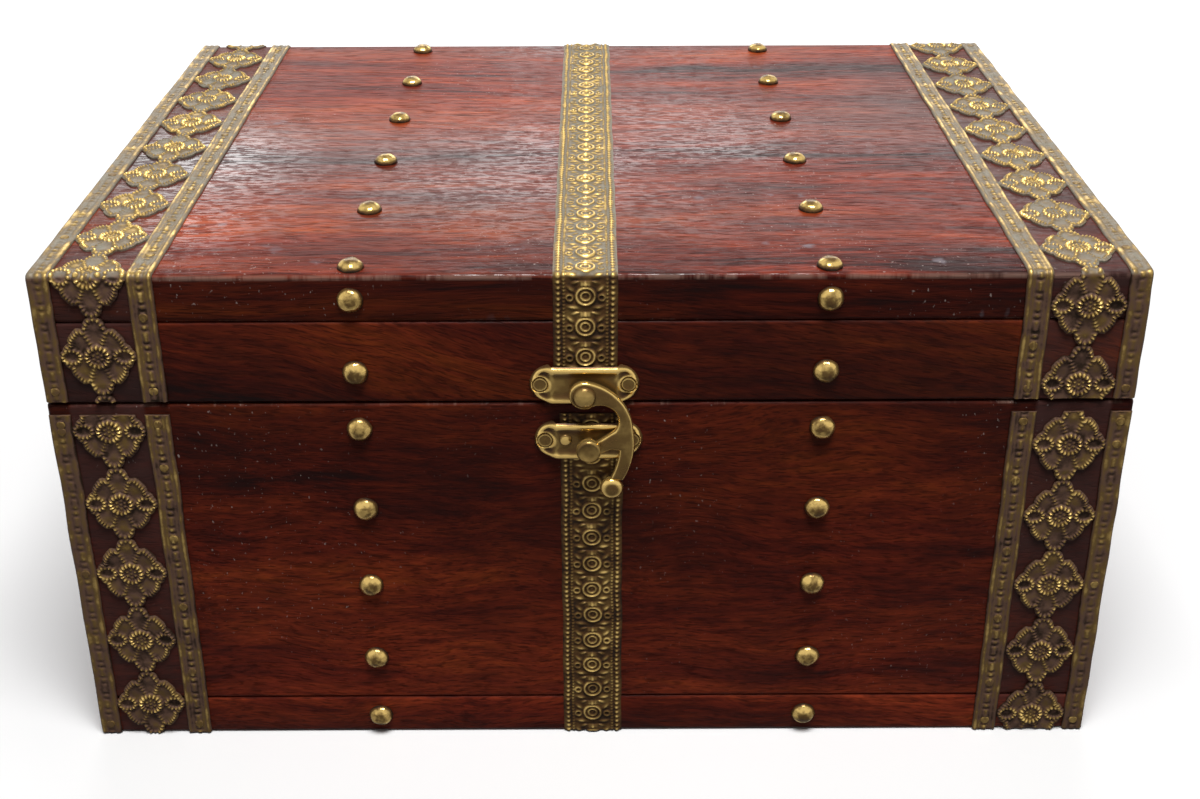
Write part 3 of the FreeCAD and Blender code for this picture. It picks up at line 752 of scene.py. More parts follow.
class KEEPSAKE_OT_boards(Operator):
    """Make the boards of the box and its lid"""

    bl_idname = "keepsake.boards"
    bl_label = "Boards"

    def execute(self, context):
        for body, nodes in (("base", base_boards), ("lid", lid_boards)):
            for node in nodes:
                finish_piece(board(node), body, [node], wood_for(node))
        return {"FINISHED"}


# Pressed bands

def ridge(distance, width):
    """A soft ridge, one on its crest."""
    return np.exp(-(distance / width) ** 2)


def fade(value, low, high):
    share = np.clip((value - low) / (high - low), 0, 1)
    return share * share * (3 - 2 * share)


def wave(value, length):
    return 0.5 + 0.5 * np.cos(2 * math.pi * value / length)


def to_nearest(along, pitch):
    """Distance along the strip from the nearest motif's middle."""
    return (along + pitch / 2) % pitch - pitch / 2


def medallion_edge(along, across):
    """Distance from a medallion's scalloped outline, below zero inside."""
    end, side = np.abs(along), np.abs(across)
    angle = np.arctan2(side, end)
    spread = (end / lozenge_along) ** 1.5 + (side / lozenge_across) ** 1.5
    notch = 0.13 * ridge(angle - tip_seam, 0.1) + 0.06 * ridge(angle - side_seam, 0.1)
    lozenge = (spread ** (1 / 1.5) - 1 + notch) * 8.0
    tip = np.hypot(end - tip_cup, side) - tip_radius
    ear = np.hypot(ear_flat * end, side - side_cup) - side_radius
    return np.minimum(np.minimum(lozenge, tip), ear)


def end_band_edge(along, across):
    """Distance from the pierced sheet's edge, below zero on the sheet."""
    medallion = medallion_edge(to_nearest(along, medallion_pitch), across)
    return np.minimum(medallion, field_half - np.abs(across))


def rope(turn):
    """Ribs that leave some of their height between them, by turns."""
    return 0.3 + 0.7 * wave(turn, 1.0)


def medallion_relief(along, across):
    """Shallow petals inside a roped outline, round a ribbed rosette with a seeded heart."""
    end, side = np.abs(along), np.abs(across)
    reach = np.hypot(along, across)
    angle = np.arctan2(side, end)
    edge = medallion_edge(along, across)
    ear_reach = np.hypot(ear_flat * along, side - side_cup)
    fan_reach = np.hypot(end - 5.0, side - 4.9)
    tip_reach = np.hypot(end - tip_cup + 0.6, side)
    pillow = ridge(fan_reach, 1.9) + ridge(tip_reach, 1.5)
    height = 0.3 + 0.2 * pillow - 0.2 * fade(2.3 - ear_reach, 0, 1.4)
    on_fan = fade(angle, tip_seam - 0.03, tip_seam + 0.03)
    tip_turn = np.arctan2(side, end - tip_cup + 0.6) / (2 * math.pi)
    ribs = on_fan * rope(angle * 9.0) + (1 - on_fan) * rope(tip_turn * 12)
    outline = ridge(edge + 0.85, 0.66) * ribs
    seam_ribs = ridge(reach * np.sin(angle - tip_seam), 0.75) * rope(reach / 1.1)
    seam_ribs = seam_ribs * fade(reach, 3.4, 4.0) * (1 - fade(reach, 8.0, 9.0))
    ear_turn = np.arctan2(ear_flat * along, side - side_cup) / (2 * math.pi)
    ear_rim = ridge(ear_reach - side_radius + 0.9, 0.78) * rope(ear_turn * 13)
    height = height + 0.58 * np.maximum(np.maximum(outline, 0.75 * seam_ribs), 1.1 * ear_rim)
    collar = ridge(reach - 2.85, 0.85) * rope(np.arctan2(across, along) / (2 * math.pi) * 16)
    heart = 0.46 + 0.8 * collar
    for turn in range(6):
        seed_along = 1.25 * math.cos(turn * math.pi / 3)
        seed_across = 1.25 * math.sin(turn * math.pi / 3)
        heart = heart + 0.44 * ridge(np.hypot(along - seed_along, across - seed_across), 0.48)
    heart = heart + 0.44 * ridge(reach, 0.48)
    share = fade(4.1 - reach, 0, 0.6)
    return height * (1 - share) + heart * share


def rail_relief(along, across, width, strength):
    """A smooth strip with a chain of long and round beads sunk along its middle."""
    off = np.abs(across - width / 2)
    beat = np.cos(2 * math.pi * along * 4 / medallion_pitch)
    chain = np.maximum(fade(beat, -0.3, 0.3), 0.9 * fade(-beat, 0.72, 0.95))
    strip = 0.56 + 0.14 * ridge(off - width / 2 + 0.9, 0.5) - 0.3 * fade(off, width / 2 - 0.45, width / 2)
    groove = 0.2 * fade(1.6 - off, 0, 0.7) + 0.1 * ridge(off - 2.1, 0.3)
    return strip + strength * (0.36 * ridge(off, 0.8) * chain - groove)


def end_band_relief(along, across):
    height = medallion_relief(to_nearest(along, medallion_pitch), across)
    inner = rail_relief(along, -across - field_half, inner_rail, 1.0)
    outer = rail_relief(along, across - field_half, outer_rail, 0.55)
    on_inner = fade(-across - field_half, -0.3, 0.3)
    on_outer = fade(across - field_half, -0.3, 0.3)
    height = height * (1 - on_inner) + inner * on_inner
    return height * (1 - on_outer) + outer * on_outer


def petal(along, across, lean, length, width):
    """A raised leaf about its middle, leaning from the strip's width towards its length."""
    run = across * math.cos(lean) + along * math.sin(lean)
    off = along * math.cos(lean) - across * math.sin(lean)
    return ridge(np.hypot(run / length, off / width), 1.0)


def centre_band_relief(along, across):
    """Ringed bosses under fan crowns, with leaves and rings beside them, inside rows of pearls and beads."""
    near = to_nearest(along, boss_pitch)
    side = np.abs(across)
    height = np.full(along.shape, 0.4) - 0.16 * fade(side, 8.1, 8.5)
    pearl = np.hypot(to_nearest(along, 2 * boss_pitch / 11), side - 7.3)
    bead = np.hypot(to_nearest(along, 2 * boss_pitch / 17), side - 5.85)
    height = height - 0.14 * ridge(side - 6.5, 0.3) + 0.6 * ridge(pearl, 0.56) + 0.36 * ridge(bead, 0.36)
    reach = np.hypot(near, across)
    inside = fade(3.2 - reach, 0, 0.4)
    boss = 0.5 + 0.6 * ridge(reach - 2.45, 0.42) + 0.5 * ridge(reach - 1.25, 0.38) + 0.2 * ridge(reach, 0.4)
    fan = ridge(np.hypot((near - 3.3) / 1.15, across / 1.5), 1.0) * (0.75 + 0.25 * wave(across, 1.1))
    field = 0.8 * fan + 0.55 * petal(near + 3.3, side - 3.5, 0.15, 1.35, 0.5)
    field = field + 0.5 * petal(near - 2.1, side - 4.0, 0.7, 1.2, 0.5)
    field = field + 0.4 * petal(near - 4.1, side - 2.6, -0.4, 1.1, 0.45)
    ring = np.hypot(near + 0.5, side - 4.3)
    field = field + 0.42 * ridge(ring - 0.85, 0.34) - 0.16 * ridge(ring, 0.5)
    return height + (1 - inside) * field + inside * (boss - 0.4)


def flat_sheet(low, high, foot, head, cell):
    bpy.ops.object.select_all(action="DESELECT")
    bpy.ops.mesh.primitive_grid_add(
        x_subdivisions=round((high - low) / cell), y_subdivisions=round((head - foot) / cell), size=1,
        location=((low + high) / 2, (foot + head) / 2, 0))
    sheet = bpy.context.object
    sheet.scale = (high - low, head - foot, 1)
    bpy.ops.object.transform_apply(location=True, rotation=True, scale=True)
    return sheet


def pierce(tile, edge, cell):
    """Delete the faces off the sheet and draw the rim onto its true outline."""
    centres = face_middles(tile)
    start_edit(tile, "FACE", edge(centres[:, 1], centres[:, 0]) > 0)
    bpy.ops.mesh.delete(type="FACE")
    end_edit()
    points = points_of(tile)
    low = points.min(axis=0)
    high = points.max(axis=0)
    rim = np.zeros(len(points), dtype=bool)
    rim[edge_ends(tile)[(faces_per_edge(tile) == 1)].ravel()] = True
    inside = ((points - low > 0.01) & (high - points > 0.01))[:, :2].all(axis=1)
    across, along = points[:, 0], points[:, 1]
    nudge = 0.02
    slope_along = (edge(along + nudge, across) - edge(along - nudge, across)) / (2 * nudge)
    slope_across = (edge(along, across + nudge) - edge(along, across - nudge)) / (2 * nudge)
    move = np.clip(edge(along, across), -cell, cell) * (rim & inside)
    points[:, 0] -= move * slope_across
    points[:, 1] -= move * slope_along
    set_points(tile, points)


def raise_sheet(sheet):
    """Draw a flat sheet up by one, with walls round its edges."""
    start_edit(sheet, "FACE")
    bpy.ops.mesh.extrude_region_move(TRANSFORM_OT_translate={"value": (0, 0, 1)})
    bpy.ops.mesh.select_all(action="SELECT")
    bpy.ops.mesh.normals_make_consistent(inside=False)
    end_edit()


def give_body(tile, length, relief):
    """Draw the sheet up off the wood to its relief and plane its underside, with both seams left open."""
    raise_sheet(tile)
    middles = face_middles(tile)
    start_edit(tile, "FACE", (middles[:, 1] < 0.001) | (middles[:, 1] > length - 0.001))
    bpy.ops.mesh.delete(type="FACE")
    end_edit()
    middles = face_middles(tile)
    clear_of_seams = (middles[:, 1] > 0.4) & (middles[:, 1] < length - 0.4)
    start_edit(tile, "FACE", (np.abs(middles[:, 2]) < 0.001) & clear_of_seams)
    bpy.ops.mesh.dissolve_limited(angle_limit=0.01)
    end_edit()
    points = points_of(tile)
    points[:, 2] *= relief(points[:, 1], points[:, 0])
    set_points(tile, points)


def mark_points(piece, wear_and_painted_light):
    mark = piece.data.attributes.new("wear_and_painted_light", "FLOAT", "POINT")
    mark.data.foreach_set("value", np.asarray(wear_and_painted_light, dtype=np.float32))


def stands_out(relief, along, across, reach):
    """How far a pressed surface stands out from the ring that lies at this reach round each point."""
    round_about = np.zeros(along.shape)
    for turn in range(8):
        angle = turn * math.pi / 4
        round_about += relief(along + reach * math.cos(angle), across + reach * math.sin(angle)) / 8
    return relief(along, across) - round_about


def mark_wear_and_painted_light(tile, relief):
    """Mark where hands rub the brass and where highlight and shade are painted: what is high, and what stands
    out from its surroundings.
    """
    points = points_of(tile)
    along, across = points[:, 1], points[:, 0]
    wear_and_painted_light = 0.34 * relief(along, across) + 0.8 * stands_out(relief, along, across, 0.8) + 0.26
    mark_points(tile, np.clip(wear_and_painted_light, 0, 1) * (points[:, 2] > 0.02))


def pressed_tile(length, low, high, relief, cell, edge=None):
    """One repeat of a pressed sheet lying flat, in millimetres: across on X and along on Y."""
    tile = flat_sheet(low, high, 0, length, cell)
    if edge is not None:
        pierce(tile, edge, cell)
    give_body(tile, length, relief)
    mark_wear_and_painted_light(tile, relief)
    return tile


def cut_across(strip, along, **sides):
    start_edit(strip, "FACE")
    bpy.ops.mesh.bisect(plane_co=(0, along, 0), plane_no=(0, 1, 0), **sides)
    end_edit()


def uneven(along, across, seed):
    """Slow waves that differ from strip to strip, about one high."""
    chance = random.Random(seed)
    total = np.zeros(along.shape)
    for count in range(6):
        turn = chance.uniform(0, 2 * math.pi)
        total += np.sin(along * chance.uniform(0.05, 0.5) + across * chance.uniform(-0.4, 0.4) + turn) / 6
    return total


def pressed_strip(name, tile, repeat, first, length, bends, seed, depth):
    """A row of tiles trimmed to the strip's length, with a motif at first and cuts where it will bend."""
    strip = copy_of(tile, name)
    start = first - repeat
    apply_modifier(
        strip, "ARRAY", count=math.ceil((length - start) / repeat), use_relative_offset=False,
        use_constant_offset=True, constant_offset_displace=(0, repeat, 0), use_merge_vertices=True,
        merge_threshold=0.01)
    strip.data.transform(Matrix.Translation((0, start, 0)))
    cut_across(strip, 0, use_fill=True, clear_inner=True)
    cut_across(strip, length, use_fill=True, clear_outer=True)
    for along in bends:
        cut_across(strip, along)
    points = points_of(strip)
    points[:, 2] *= 1 + 0.18 * uneven(points[:, 1], points[:, 0], seed)
    points[:, 2] = np.minimum(points[:, 2], relief_top) * depth(points[:, 1])
    points[:, 0] += 0.25 * uneven(points[:, 1], np.zeros(len(points)), seed + 50)
    set_points(strip, points)
    return strip


def over_lid(points):
    """Lay a flat strip up the front, over the top and down the back."""
    along = points[:, 1]
    angle = sum(np.clip((along - start) / band_turn, 0, math.pi / 2) for start in bend_starts)
    flat = np.clip(along - bend_starts[0] - bend_length, 0, lid_over)
    down = np.maximum(along - bend_starts[1] - bend_length, 0)
    reach = band_turn + points[:, 2]
    y = front_y / mm + band_turn + flat - reach * np.cos(angle)
    z = lid_foot + np.minimum(along, lid_rise) - down + reach * np.sin(angle)
    return np.column_stack((points[:, 0], y, z)) * mm


def up_front(foot):
    def lay(points):
        return np.column_stack((points[:, 0] * mm, front_y - points[:, 2] * mm, foot + points[:, 1] * mm))
    return lay


def down_back(head):
    def lay(points):
        return np.column_stack((points[:, 0] * mm, back_y + points[:, 2] * mm, head - points[:, 1] * mm))
    return lay


def band_depth(node):
    """How much deeper than the press a run stands; the back and what lies under the clasp keep its depth."""
    if "centre" in node or node.startswith("base_back"):
        return np.ones_like
    if node.startswith("base_front"):
        return lambda along: np.full(along.shape, front_depth)
    back_bend = bend_starts[1]
    return lambda along: front_depth - (front_depth - 1) * fade(along, back_bend - 6, back_bend)


def band_runs(place):
    """Name, body, length, bends and lay of the three runs of a band: base front, base back and lid."""
    front_low, front_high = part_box("base_front_band_" + place)
    back_low, back_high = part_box("base_back_band_" + place)
    return [
        ("base_front_band_" + place, "base", (front_high.z - front_low.z) / mm, [], up_front(front_low.z)),
        ("base_back_band_" + place, "base", (back_high.z - back_low.z) / mm, [], down_back(back_high.z)),
        ("lid_band_" + place, "lid", lid_length, lid_bends, over_lid),
    ]


def lay_bands(place, tile, repeat, seed):
    """Press the three runs of a band from a tile and lay them on the wood."""
    mirrored = place == "left"
    warm = place == "centre"
    name = "band_brass_warm" if warm else "band_brass_aged"
    brass = material_named(name, aged_brass, scale=150.0, blotch=0.46, bloom=0.75, warm=warm)
    for run, (node, body, length, bends, lay) in enumerate(band_runs(place)):
        first = first_motif[place][body]
        strip = pressed_strip(
            node + "_pressed", tile, repeat, first, length, bends, seed + run, band_depth(node))
        low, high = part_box(node)
        middle = {"left": -end_band_x, "right": end_band_x, "centre": (low.x + high.x) / 2 / mm}[place]
        points = points_of(strip)
        points[:, 0] = middle + points[:, 0] * (-1 if mirrored else 1)
        set_points(strip, lay(points))
        if mirrored:
            start_edit(strip, "FACE")
            bpy.ops.mesh.flip_normals()
            end_edit()
        finish_piece(strip, body, [node], brass, 50)


class KEEPSAKE_OT_end_bands(Operator):
    """Press and lay the pierced medallion bands at both ends"""

    bl_idname = "keepsake.end_bands"
    bl_label = "End Bands"

    def execute(self, context):
        cell = context.scene.keepsake_sizes.band_cell / mm
        low, high = -field_half - inner_rail, field_half + outer_rail
        tile = pressed_tile(medallion_pitch, low, high, end_band_relief, cell, end_band_edge)
        lay_bands("left", tile, medallion_pitch, 0)
        lay_bands("right", tile, medallion_pitch, 10)
        bpy.data.objects.remove(tile)
        return {"FINISHED"}


class KEEPSAKE_OT_centre_bands(Operator):
    """Press and lay the beaded centre bands"""

    bl_idname = "keepsake.centre_bands"
    bl_label = "Centre Bands"

    def execute(self, context):
        cell = context.scene.keepsake_sizes.bead_cell / mm
        tile = pressed_tile(2 * boss_pitch, -centre_half, centre_half, centre_band_relief, cell)
        lay_bands("centre", tile, 2 * boss_pitch, 30)
        bpy.data.objects.remove(tile)
        return {"FINISHED"}


# Brads and dome nails

def dented(piece, depth, seed):
    """Push the surface in and out a little, as hand work leaves it, and the same way in each run."""
    noise.seed_set(dent_seed)
    points = points_of(piece)
    shift = Vector((seed * 3.7, seed * 1.3, seed * 2.1))
    for index, point in enumerate(points):
        points[index] += noise.noise_vector(Vector(point) / (2.2 * mm) + shift) * depth
    set_points(piece, points)


def scattered(name, model, placings, dent, seed):
    """Copies of one piece at each placing, each turned and dented its own way, as one piece."""
    chance = random.Random(seed)
    copies = []
    for index, placing in enumerate(placings):
        twin = copy_of(model, "copy")
        dented(twin, dent, seed + index)
        spin = Matrix.Rotation(chance.uniform(0, 2 * math.pi), 4, "Z")
        lean = Matrix.Rotation(chance.uniform(-0.04, 0.04), 4, "X")
        twin.data.transform(placing @ lean @ spin)
        copies.append(twin)
    return joined(name, copies)


def nail_placings(group):
    """Where the nails of a group stand: two columns on the front, the back or the top."""
    columns = (-nail_column, nail_column)
    if group == "lid_top":
        return [Matrix.Translation((x, y * mm, top_z)) for x in columns for y in nail_places[group]]
    stand = to_front if "front" in group else to_back
    return [stand(x, z * mm) for x in columns for z in nail_places[group]]


class KEEPSAKE_OT_dome_nails(Operator):
    """Drive the dome nails"""

    bl_idname = "keepsake.dome_nails"
    bl_label = "Dome Nails"

    def execute(self, context):
        dent = context.scene.keepsake_sizes.nail_dent
        brass = material_named(
            "nail_brass_worn_painted_light", aged_brass, scale=340.0, rough=0.1, metal=0.75, blotch=0.5, warm=True)
        model = turned("dome_nail", 28, nail_profile)
        rise = points_of(model)[:, 2] / mm
        # painted light on the dome: dark rim and darkened crown as painted shade and reflection, a bright
        # ring between as painted highlight
        mark_points(model, 0.1 + 0.82 * fade(rise, 0.3, 1.6) - 0.34 * fade(rise, 2.0, 2.6))
        for number, group in enumerate(nail_places):
            node = group + "_nails"
            nails = scattered(node + "_domes", model, nail_placings(group), dent, number * 20)
            finish_piece(nails, group.split("_")[0], [node], brass)
        bpy.data.objects.remove(model)
        return {"FINISHED"}


def brad_places(length, first):
    """Across and along a strip: the inner rail between medallions, the outer rail beside some of them."""
    inner = -field_half - inner_rail / 2
    outer = field_half + outer_rail / 2
    places = [(inner, 3.2), (outer, 3.2), (inner, length - 3.0), (outer, length - 3.0)]
    along = first + medallion_pitch / 2
    count = 0
    while along < length - 8:
        if along > 8:
            places.append((inner, along))
            if count % 2:
                places.append((outer, along + medallion_pitch / 2))
        along += medallion_pitch
        count += 1
    return [place for place in places if place[1] < length - 2]


def brad_placings(place, run):
    body, length, bends, lay = band_runs(place)[run][1:]
    side = -1 if place == "left" else 1
    placings = []
    for across, along in brad_places(length, first_motif[place][body]):
        if any(abs(along - bend) < 3 for bend in bends):
            continue
        x = side * (end_band_x + across)
        foot, head = lay(np.array([(x, along, 0.35), (x, along, 1.35)]))
        outward = Vector(head - foot).normalized()
        turn = Vector((0, 0, 1)).rotation_difference(outward).to_matrix().to_4x4()
        placings.append(Matrix.Translation(foot) @ turn)
    return placings


class KEEPSAKE_OT_brads(Operator):
    """Pin the end bands' rails with brads"""

    bl_idname = "keepsake.brads"
    bl_label = "Band Brads"

    def execute(self, context):
        radius = context.scene.keepsake_sizes.brad_radius / mm
        model = turned("brad", 10, [(radius, 0), (radius, 0.35), (radius * 0.8, 0.62), (radius * 0.35, 0.66)])
        brass = material_named("brad_brass", aged_brass, scale=240.0, worn=-0.05, marked=False)
        for run, name in enumerate(("base_front_brads", "base_back_brads", "lid_brads")):
            placings = brad_placings("left", run) + brad_placings("right", run)
            brads = scattered(name, model, placings, 0.05 * mm, 200 + 100 * run)
            finish_piece(brads, name.split("_")[0], [], brass)
        bpy.data.objects.remove(model)
        return {"FINISHED"}


# Hook clasp, in millimetres about the pivot until it is set on the front

plate_width = 30.0
plate_height = 11.4
crown_foot = 9.85
crown_under = 1.6
pin_spread = 12.1
pin_seat = 2.35
hook_back = 2.8
hook_thickness = 2.4
hook_ease = 0.9
eye_radius = 4.2
eye_shoulder = 1.2
hook_brow = (8.6, 0.0)
hook_elbow = (13.4, -10.8)
tail_flank = (13.7, -17.0)
tail_end = (10.7, -27.0)
tail_inner = [(7.0, -26.5), (8.8, -21.8), (9.6, -17.3)]
finger_root = (7.6, -16.9)
finger_width = 1.3
finger_tip = -0.7
seat_radius = 1.8
throat = [(8.4, -11.0), (6.6, -3.6)]
button_place = (7.5, -29.5)


def clasp_plate(name):
    """A plate pressed out of sheet, hollow under its crown where it stands over the band."""
    half = plate_width / 2 + 1
    rise = plate_height / 2 + 1
    piece = flat_sheet(-half, half, -rise, rise, 0.25)
    piece.name = name
    pierce(piece, plate_edge, 0.25)
    raise_sheet(piece)
    points = points_of(piece)
    raised = points[:, 2] > 0.5
    top = plate_top(points[:, 1], points[:, 0])
    under = crown_under * (1 - fade(np.abs(points[:, 0]), crown_foot - 0.9, crown_foot))
    points[:, 2] = np.where(raised, top, under)
    # wear and painted highlight on what stands out, painted shade in the hollows
    wear_and_painted_light = 0.5 + 1.7 * stands_out(plate_top, points[:, 1], points[:, 0], 1.1)
    set_points(piece, points * mm)
    mark_points(piece, np.clip(wear_and_painted_light, 0.2, 1))
    return piece


def plate_edge(along, across):
    """Distance from the stadium outline of a clasp plate, below zero inside."""
    over = np.maximum(np.abs(across) - (plate_width - plate_height) / 2, 0)
    return np.hypot(over, along) - plate_height / 2


def plate_top(along, across):
    """A crown that swells up out of two ears, inside a rolled rim, with a ringed seat for each pin."""
    inside = -plate_edge(along, across)
    off = np.abs(across)
    crown = 1 - fade(off, 8.6, 11.7)
    pin = np.hypot(along, off - pin_spread)
    height = 0.72 + 1.3 * crown
    height = height - 0.3 * fade(pin_seat - pin, 0, 0.35) + 0.3 * ridge(pin - pin_seat - 0.15, 0.35)
    rim = ridge(inside - 0.85 - 0.3 * crown, 0.6 + 0.25 * crown)
    hollow = fade(inside, 1.8, 3.4) * crown
    return height + 0.46 * rim - 0.14 * hollow - 0.5 * fade(0.55 - inside, 0, 0.55)


def arc(start, through, end, count):
    """Points along the circle through three points, without the last."""
    a, b, c = complex(*start), complex(*through), complex(*end)
    share = (c - a) / (b - a)
    centre = a + (b - a) * (share - abs(share) ** 2) / (2j * share.imag)
    turn = cmath.phase((c - centre) / (a - centre)) % (2 * math.pi)
    if cmath.phase((b - centre) / (a - centre)) % (2 * math.pi) > turn:
        turn -= 2 * math.pi
    spots = [centre + (a - centre) * cmath.rect(1, turn * step / count) for step in range(count)]
    return [(spot.real, spot.imag) for spot in spots]


def hook_outline():
    """The C of the hook about its pivot, with the finger that passes under the post's neck."""
    neck_x, neck_y = (post_middle.x - pivot.x) / mm, (post_middle.z - pivot.z) / mm
    distance = math.hypot(neck_x, neck_y)
    finger_top = distance + seat_radius
    finger_low = finger_top + finger_width

    def under(radius, x):
        return x, -math.sqrt(radius ** 2 - x ** 2)

    def seat(degrees):
        angle = math.radians(degrees)
        return neck_x + seat_radius * math.cos(angle), neck_y + seat_radius * math.sin(angle)

    shoulder = (eye_shoulder, math.sqrt(eye_radius ** 2 - eye_shoulder ** 2))
    armpit = (eye_shoulder, -shoulder[1])
    tip, end = under(finger_top, finger_tip), under(finger_low, finger_tip)
    bulge = ((tip[0] + end[0]) / 2 - finger_width / 2, (tip[1] + end[1]) / 2)
    seat_foot = (neck_x * finger_top / distance, neck_y * finger_top / distance)
    points = arc(shoulder, hook_brow, hook_elbow, 14)
    points += arc(hook_elbow, tail_flank, tail_end, 12) + [tail_end]
    points += arc(*tail_inner, 8) + [tail_inner[-1], finger_root]
    points += arc(under(finger_low, neck_x + seat_radius), under(finger_low, neck_x), end, 5)
    points += arc(end, bulge, tip, 6)
    points += arc(tip, under(finger_top, (neck_x + finger_tip) / 2), seat_foot, 4)
    points += arc(seat_foot, seat(-35), seat(30), 8) + [seat(30)]
    points += arc(*throat, armpit, 12)
    points += arc(armpit, (-eye_radius, 0.0), shoulder, 24)
    return points


def flat_piece(name, outline, thickness, ease):
    """A flat piece cut to an outline, with rounded edges."""
    curve = bpy.data.curves.new(name, "CURVE")
    curve.dimensions = "2D"
    curve.fill_mode = "BOTH"
    curve.extrude = (thickness / 2 - ease) * mm
    curve.bevel_depth = ease * mm
    curve.bevel_resolution = 3
    curve.offset = -ease * mm
    line = curve.splines.new("POLY")
    line.points.add(len(outline) - 1)
    line.points.foreach_set("co", [part for x, y in outline for part in (x * mm, y * mm, 0, 1)])
    line.use_cyclic_u = True
    piece = bpy.data.objects.new(name, curve)
    bpy.context.scene.collection.objects.link(piece)
    select_only(piece)
    bpy.ops.object.convert(target="MESH")
    piece = bpy.context.object
    face_outwards(piece)
    return piece


def mark_bevels(piece, half):
    """Mark a flat piece's rounded edges as worn bright and painted with highlight, and its faces less."""
    depth = np.abs(points_of(piece)[:, 2]) / mm
    mark_points(piece, 1.0 - 0.46 * fade(depth, half - 0.22, half - 0.02))


def clasp_hook():
    hook = flat_piece("clasp_hook_forged", hook_outline(), hook_thickness, hook_ease)
    mark_bevels(hook, hook_thickness / 2)
    button = turned("tail_button", 28, button_profile)
    mark_bevels(button, button_profile[-1][1])
    button.data.transform(Matrix.Translation(Vector((*button_place, 0)) * mm))
    return joined("clasp_hook_forged", [hook, button])


def crowned(name, sides, profile, marks, levels):
    """A turned piece, marked for wear and painted light by the first mark below two levels and by the second
    above them.
    """
    piece = turned(name, sides, profile)
    share = fade(points_of(piece)[:, 2] / mm, *levels)
    mark_points(piece, marks[0] + (marks[1] - marks[0]) * share)
    return piece


class KEEPSAKE_OT_clasp(Operator):
    """Make the swing hook, its plates, rivet and catch"""

    bl_idname = "keepsake.clasp"
    bl_label = "Hook Clasp"

    def execute(self, context):
        brass = material_named(
            "clasp_brass_handled_painted_light", aged_brass, scale=110.0, worn=0.04, rough=0.14, metal=0.85, blotch=0.24,
            warm=True)
        pin = crowned("pin", 24, pin_profile, (0.48, 0.78), (1.2, 1.24))
        for node, body, seed in (("hook_plate", "lid", 300), ("catch_plate", "base", 320)):
            low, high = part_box(node)
            x, z = (low.x + high.x) / 2, (low.z + high.z) / 2
            plate = clasp_plate(node + "_stamped")
            plate.data.transform(to_front(x, z))
            finish_piece(plate, body, [node], brass)
            placings = [to_front(x + side * pin_spread * mm, z) for side in (-1, 1)]
            pins = scattered(node + "_pin_heads", pin, placings, 0.06 * mm, seed)
            finish_piece(pins, body, [node + "_pins"], brass)
        bpy.data.objects.remove(pin)
        hook = clasp_hook()
        hook.data.transform(to_front(pivot.x, pivot.z, (hook_back + hook_thickness / 2) * mm))
        finish_piece(hook, "hook", ["clasp_hook"], brass)
        rivet = crowned("hook_rivet_dome", 32, rivet_profile, (0.35, 0.7), (5.4, 6.8))
        rivet.data.transform(to_front(pivot.x, pivot.z))
        finish_piece(rivet, "lid", ["hook_rivet"], brass)
        post = crowned("catch_post_turned", 36, post_profile, (0.82, 0.56), (7.5, 7.8))
        post.data.transform(to_front(post_middle.x, post_middle.z))
        dome = crowned("catch_bump", 24, bump_profile, (0.45, 0.85), (2.2, 2.65))
        dome.data.transform(to_front(post_middle.x - 6.4 * mm, post_middle.z + 0.6 * mm))
        post = joined("catch_post_turned", [post, dome])
        finish_piece(post, "base", ["catch_post"], brass)
        return {"FINISHED"}


# Hinges, in millimetres along the pin from its middle and out from its axis

hinge_half = 25.0
lid_knuckle = 9.0
knuckle_gap = 0.3
knuckle_radius = 2.4
leaf_gap = 0.2
leaf_thickness = 1.2
screw_spread = 17
screw_setback = 5
hinge_pin_half = [(1.1, 25.04), (1.7, 25.05), (1.7, 25.5), (1.2, 25.8)]
screw_profile = [(0.9, -1.0), (1.75, -0.05), (1.8, 0.0), (1.2, 0.02), (0.4, 0.02)]


def on_hinge(x):
    """Turns a piece modelled along Z to lie on the hinge axis."""
    return Matrix.Translation((x, hinge_y, seam_z)) @ Matrix.Rotation(math.pi / 2, 4, "Y")


def hinge_leaf(node, spans, low_z):
    """A leaf with its tabs and the knuckles that they roll into."""
    low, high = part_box(node)
    x = (low.x + high.x) / 2
    high_z = low_z + leaf_thickness * mm
    plates = [block("leaf", (low.x, low.y, low_z), (high.x, hinge_y - 2.7 * mm, high_z))]
    for start, end in spans:
        tab_low = (x + start * mm, hinge_y - 2.8 * mm, low_z)
        plates.append(block("tab", tab_low, (x + end * mm, hinge_y, high_z)))
    for plate in plates:
        apply_modifier(plate, "BEVEL", width=0.2 * mm, segments=2)
    worn = knuckle_radius - 0.3
    for start, end in spans:
        roll = turned("knuckle", 28, [
            (worn, start), (knuckle_radius, start + 0.3), (knuckle_radius, end - 0.3), (worn, end)])
        roll.data.transform(on_hinge(x))
        plates.append(roll)
    return joined(node + "_rolled", plates)


def slotted_screw():
    head = turned("screw", 24, screw_profile)
    carve(head, block("slot", (-2 * mm, -0.22 * mm, -0.45 * mm), (2 * mm, 0.22 * mm, 0.5 * mm)))
    return head


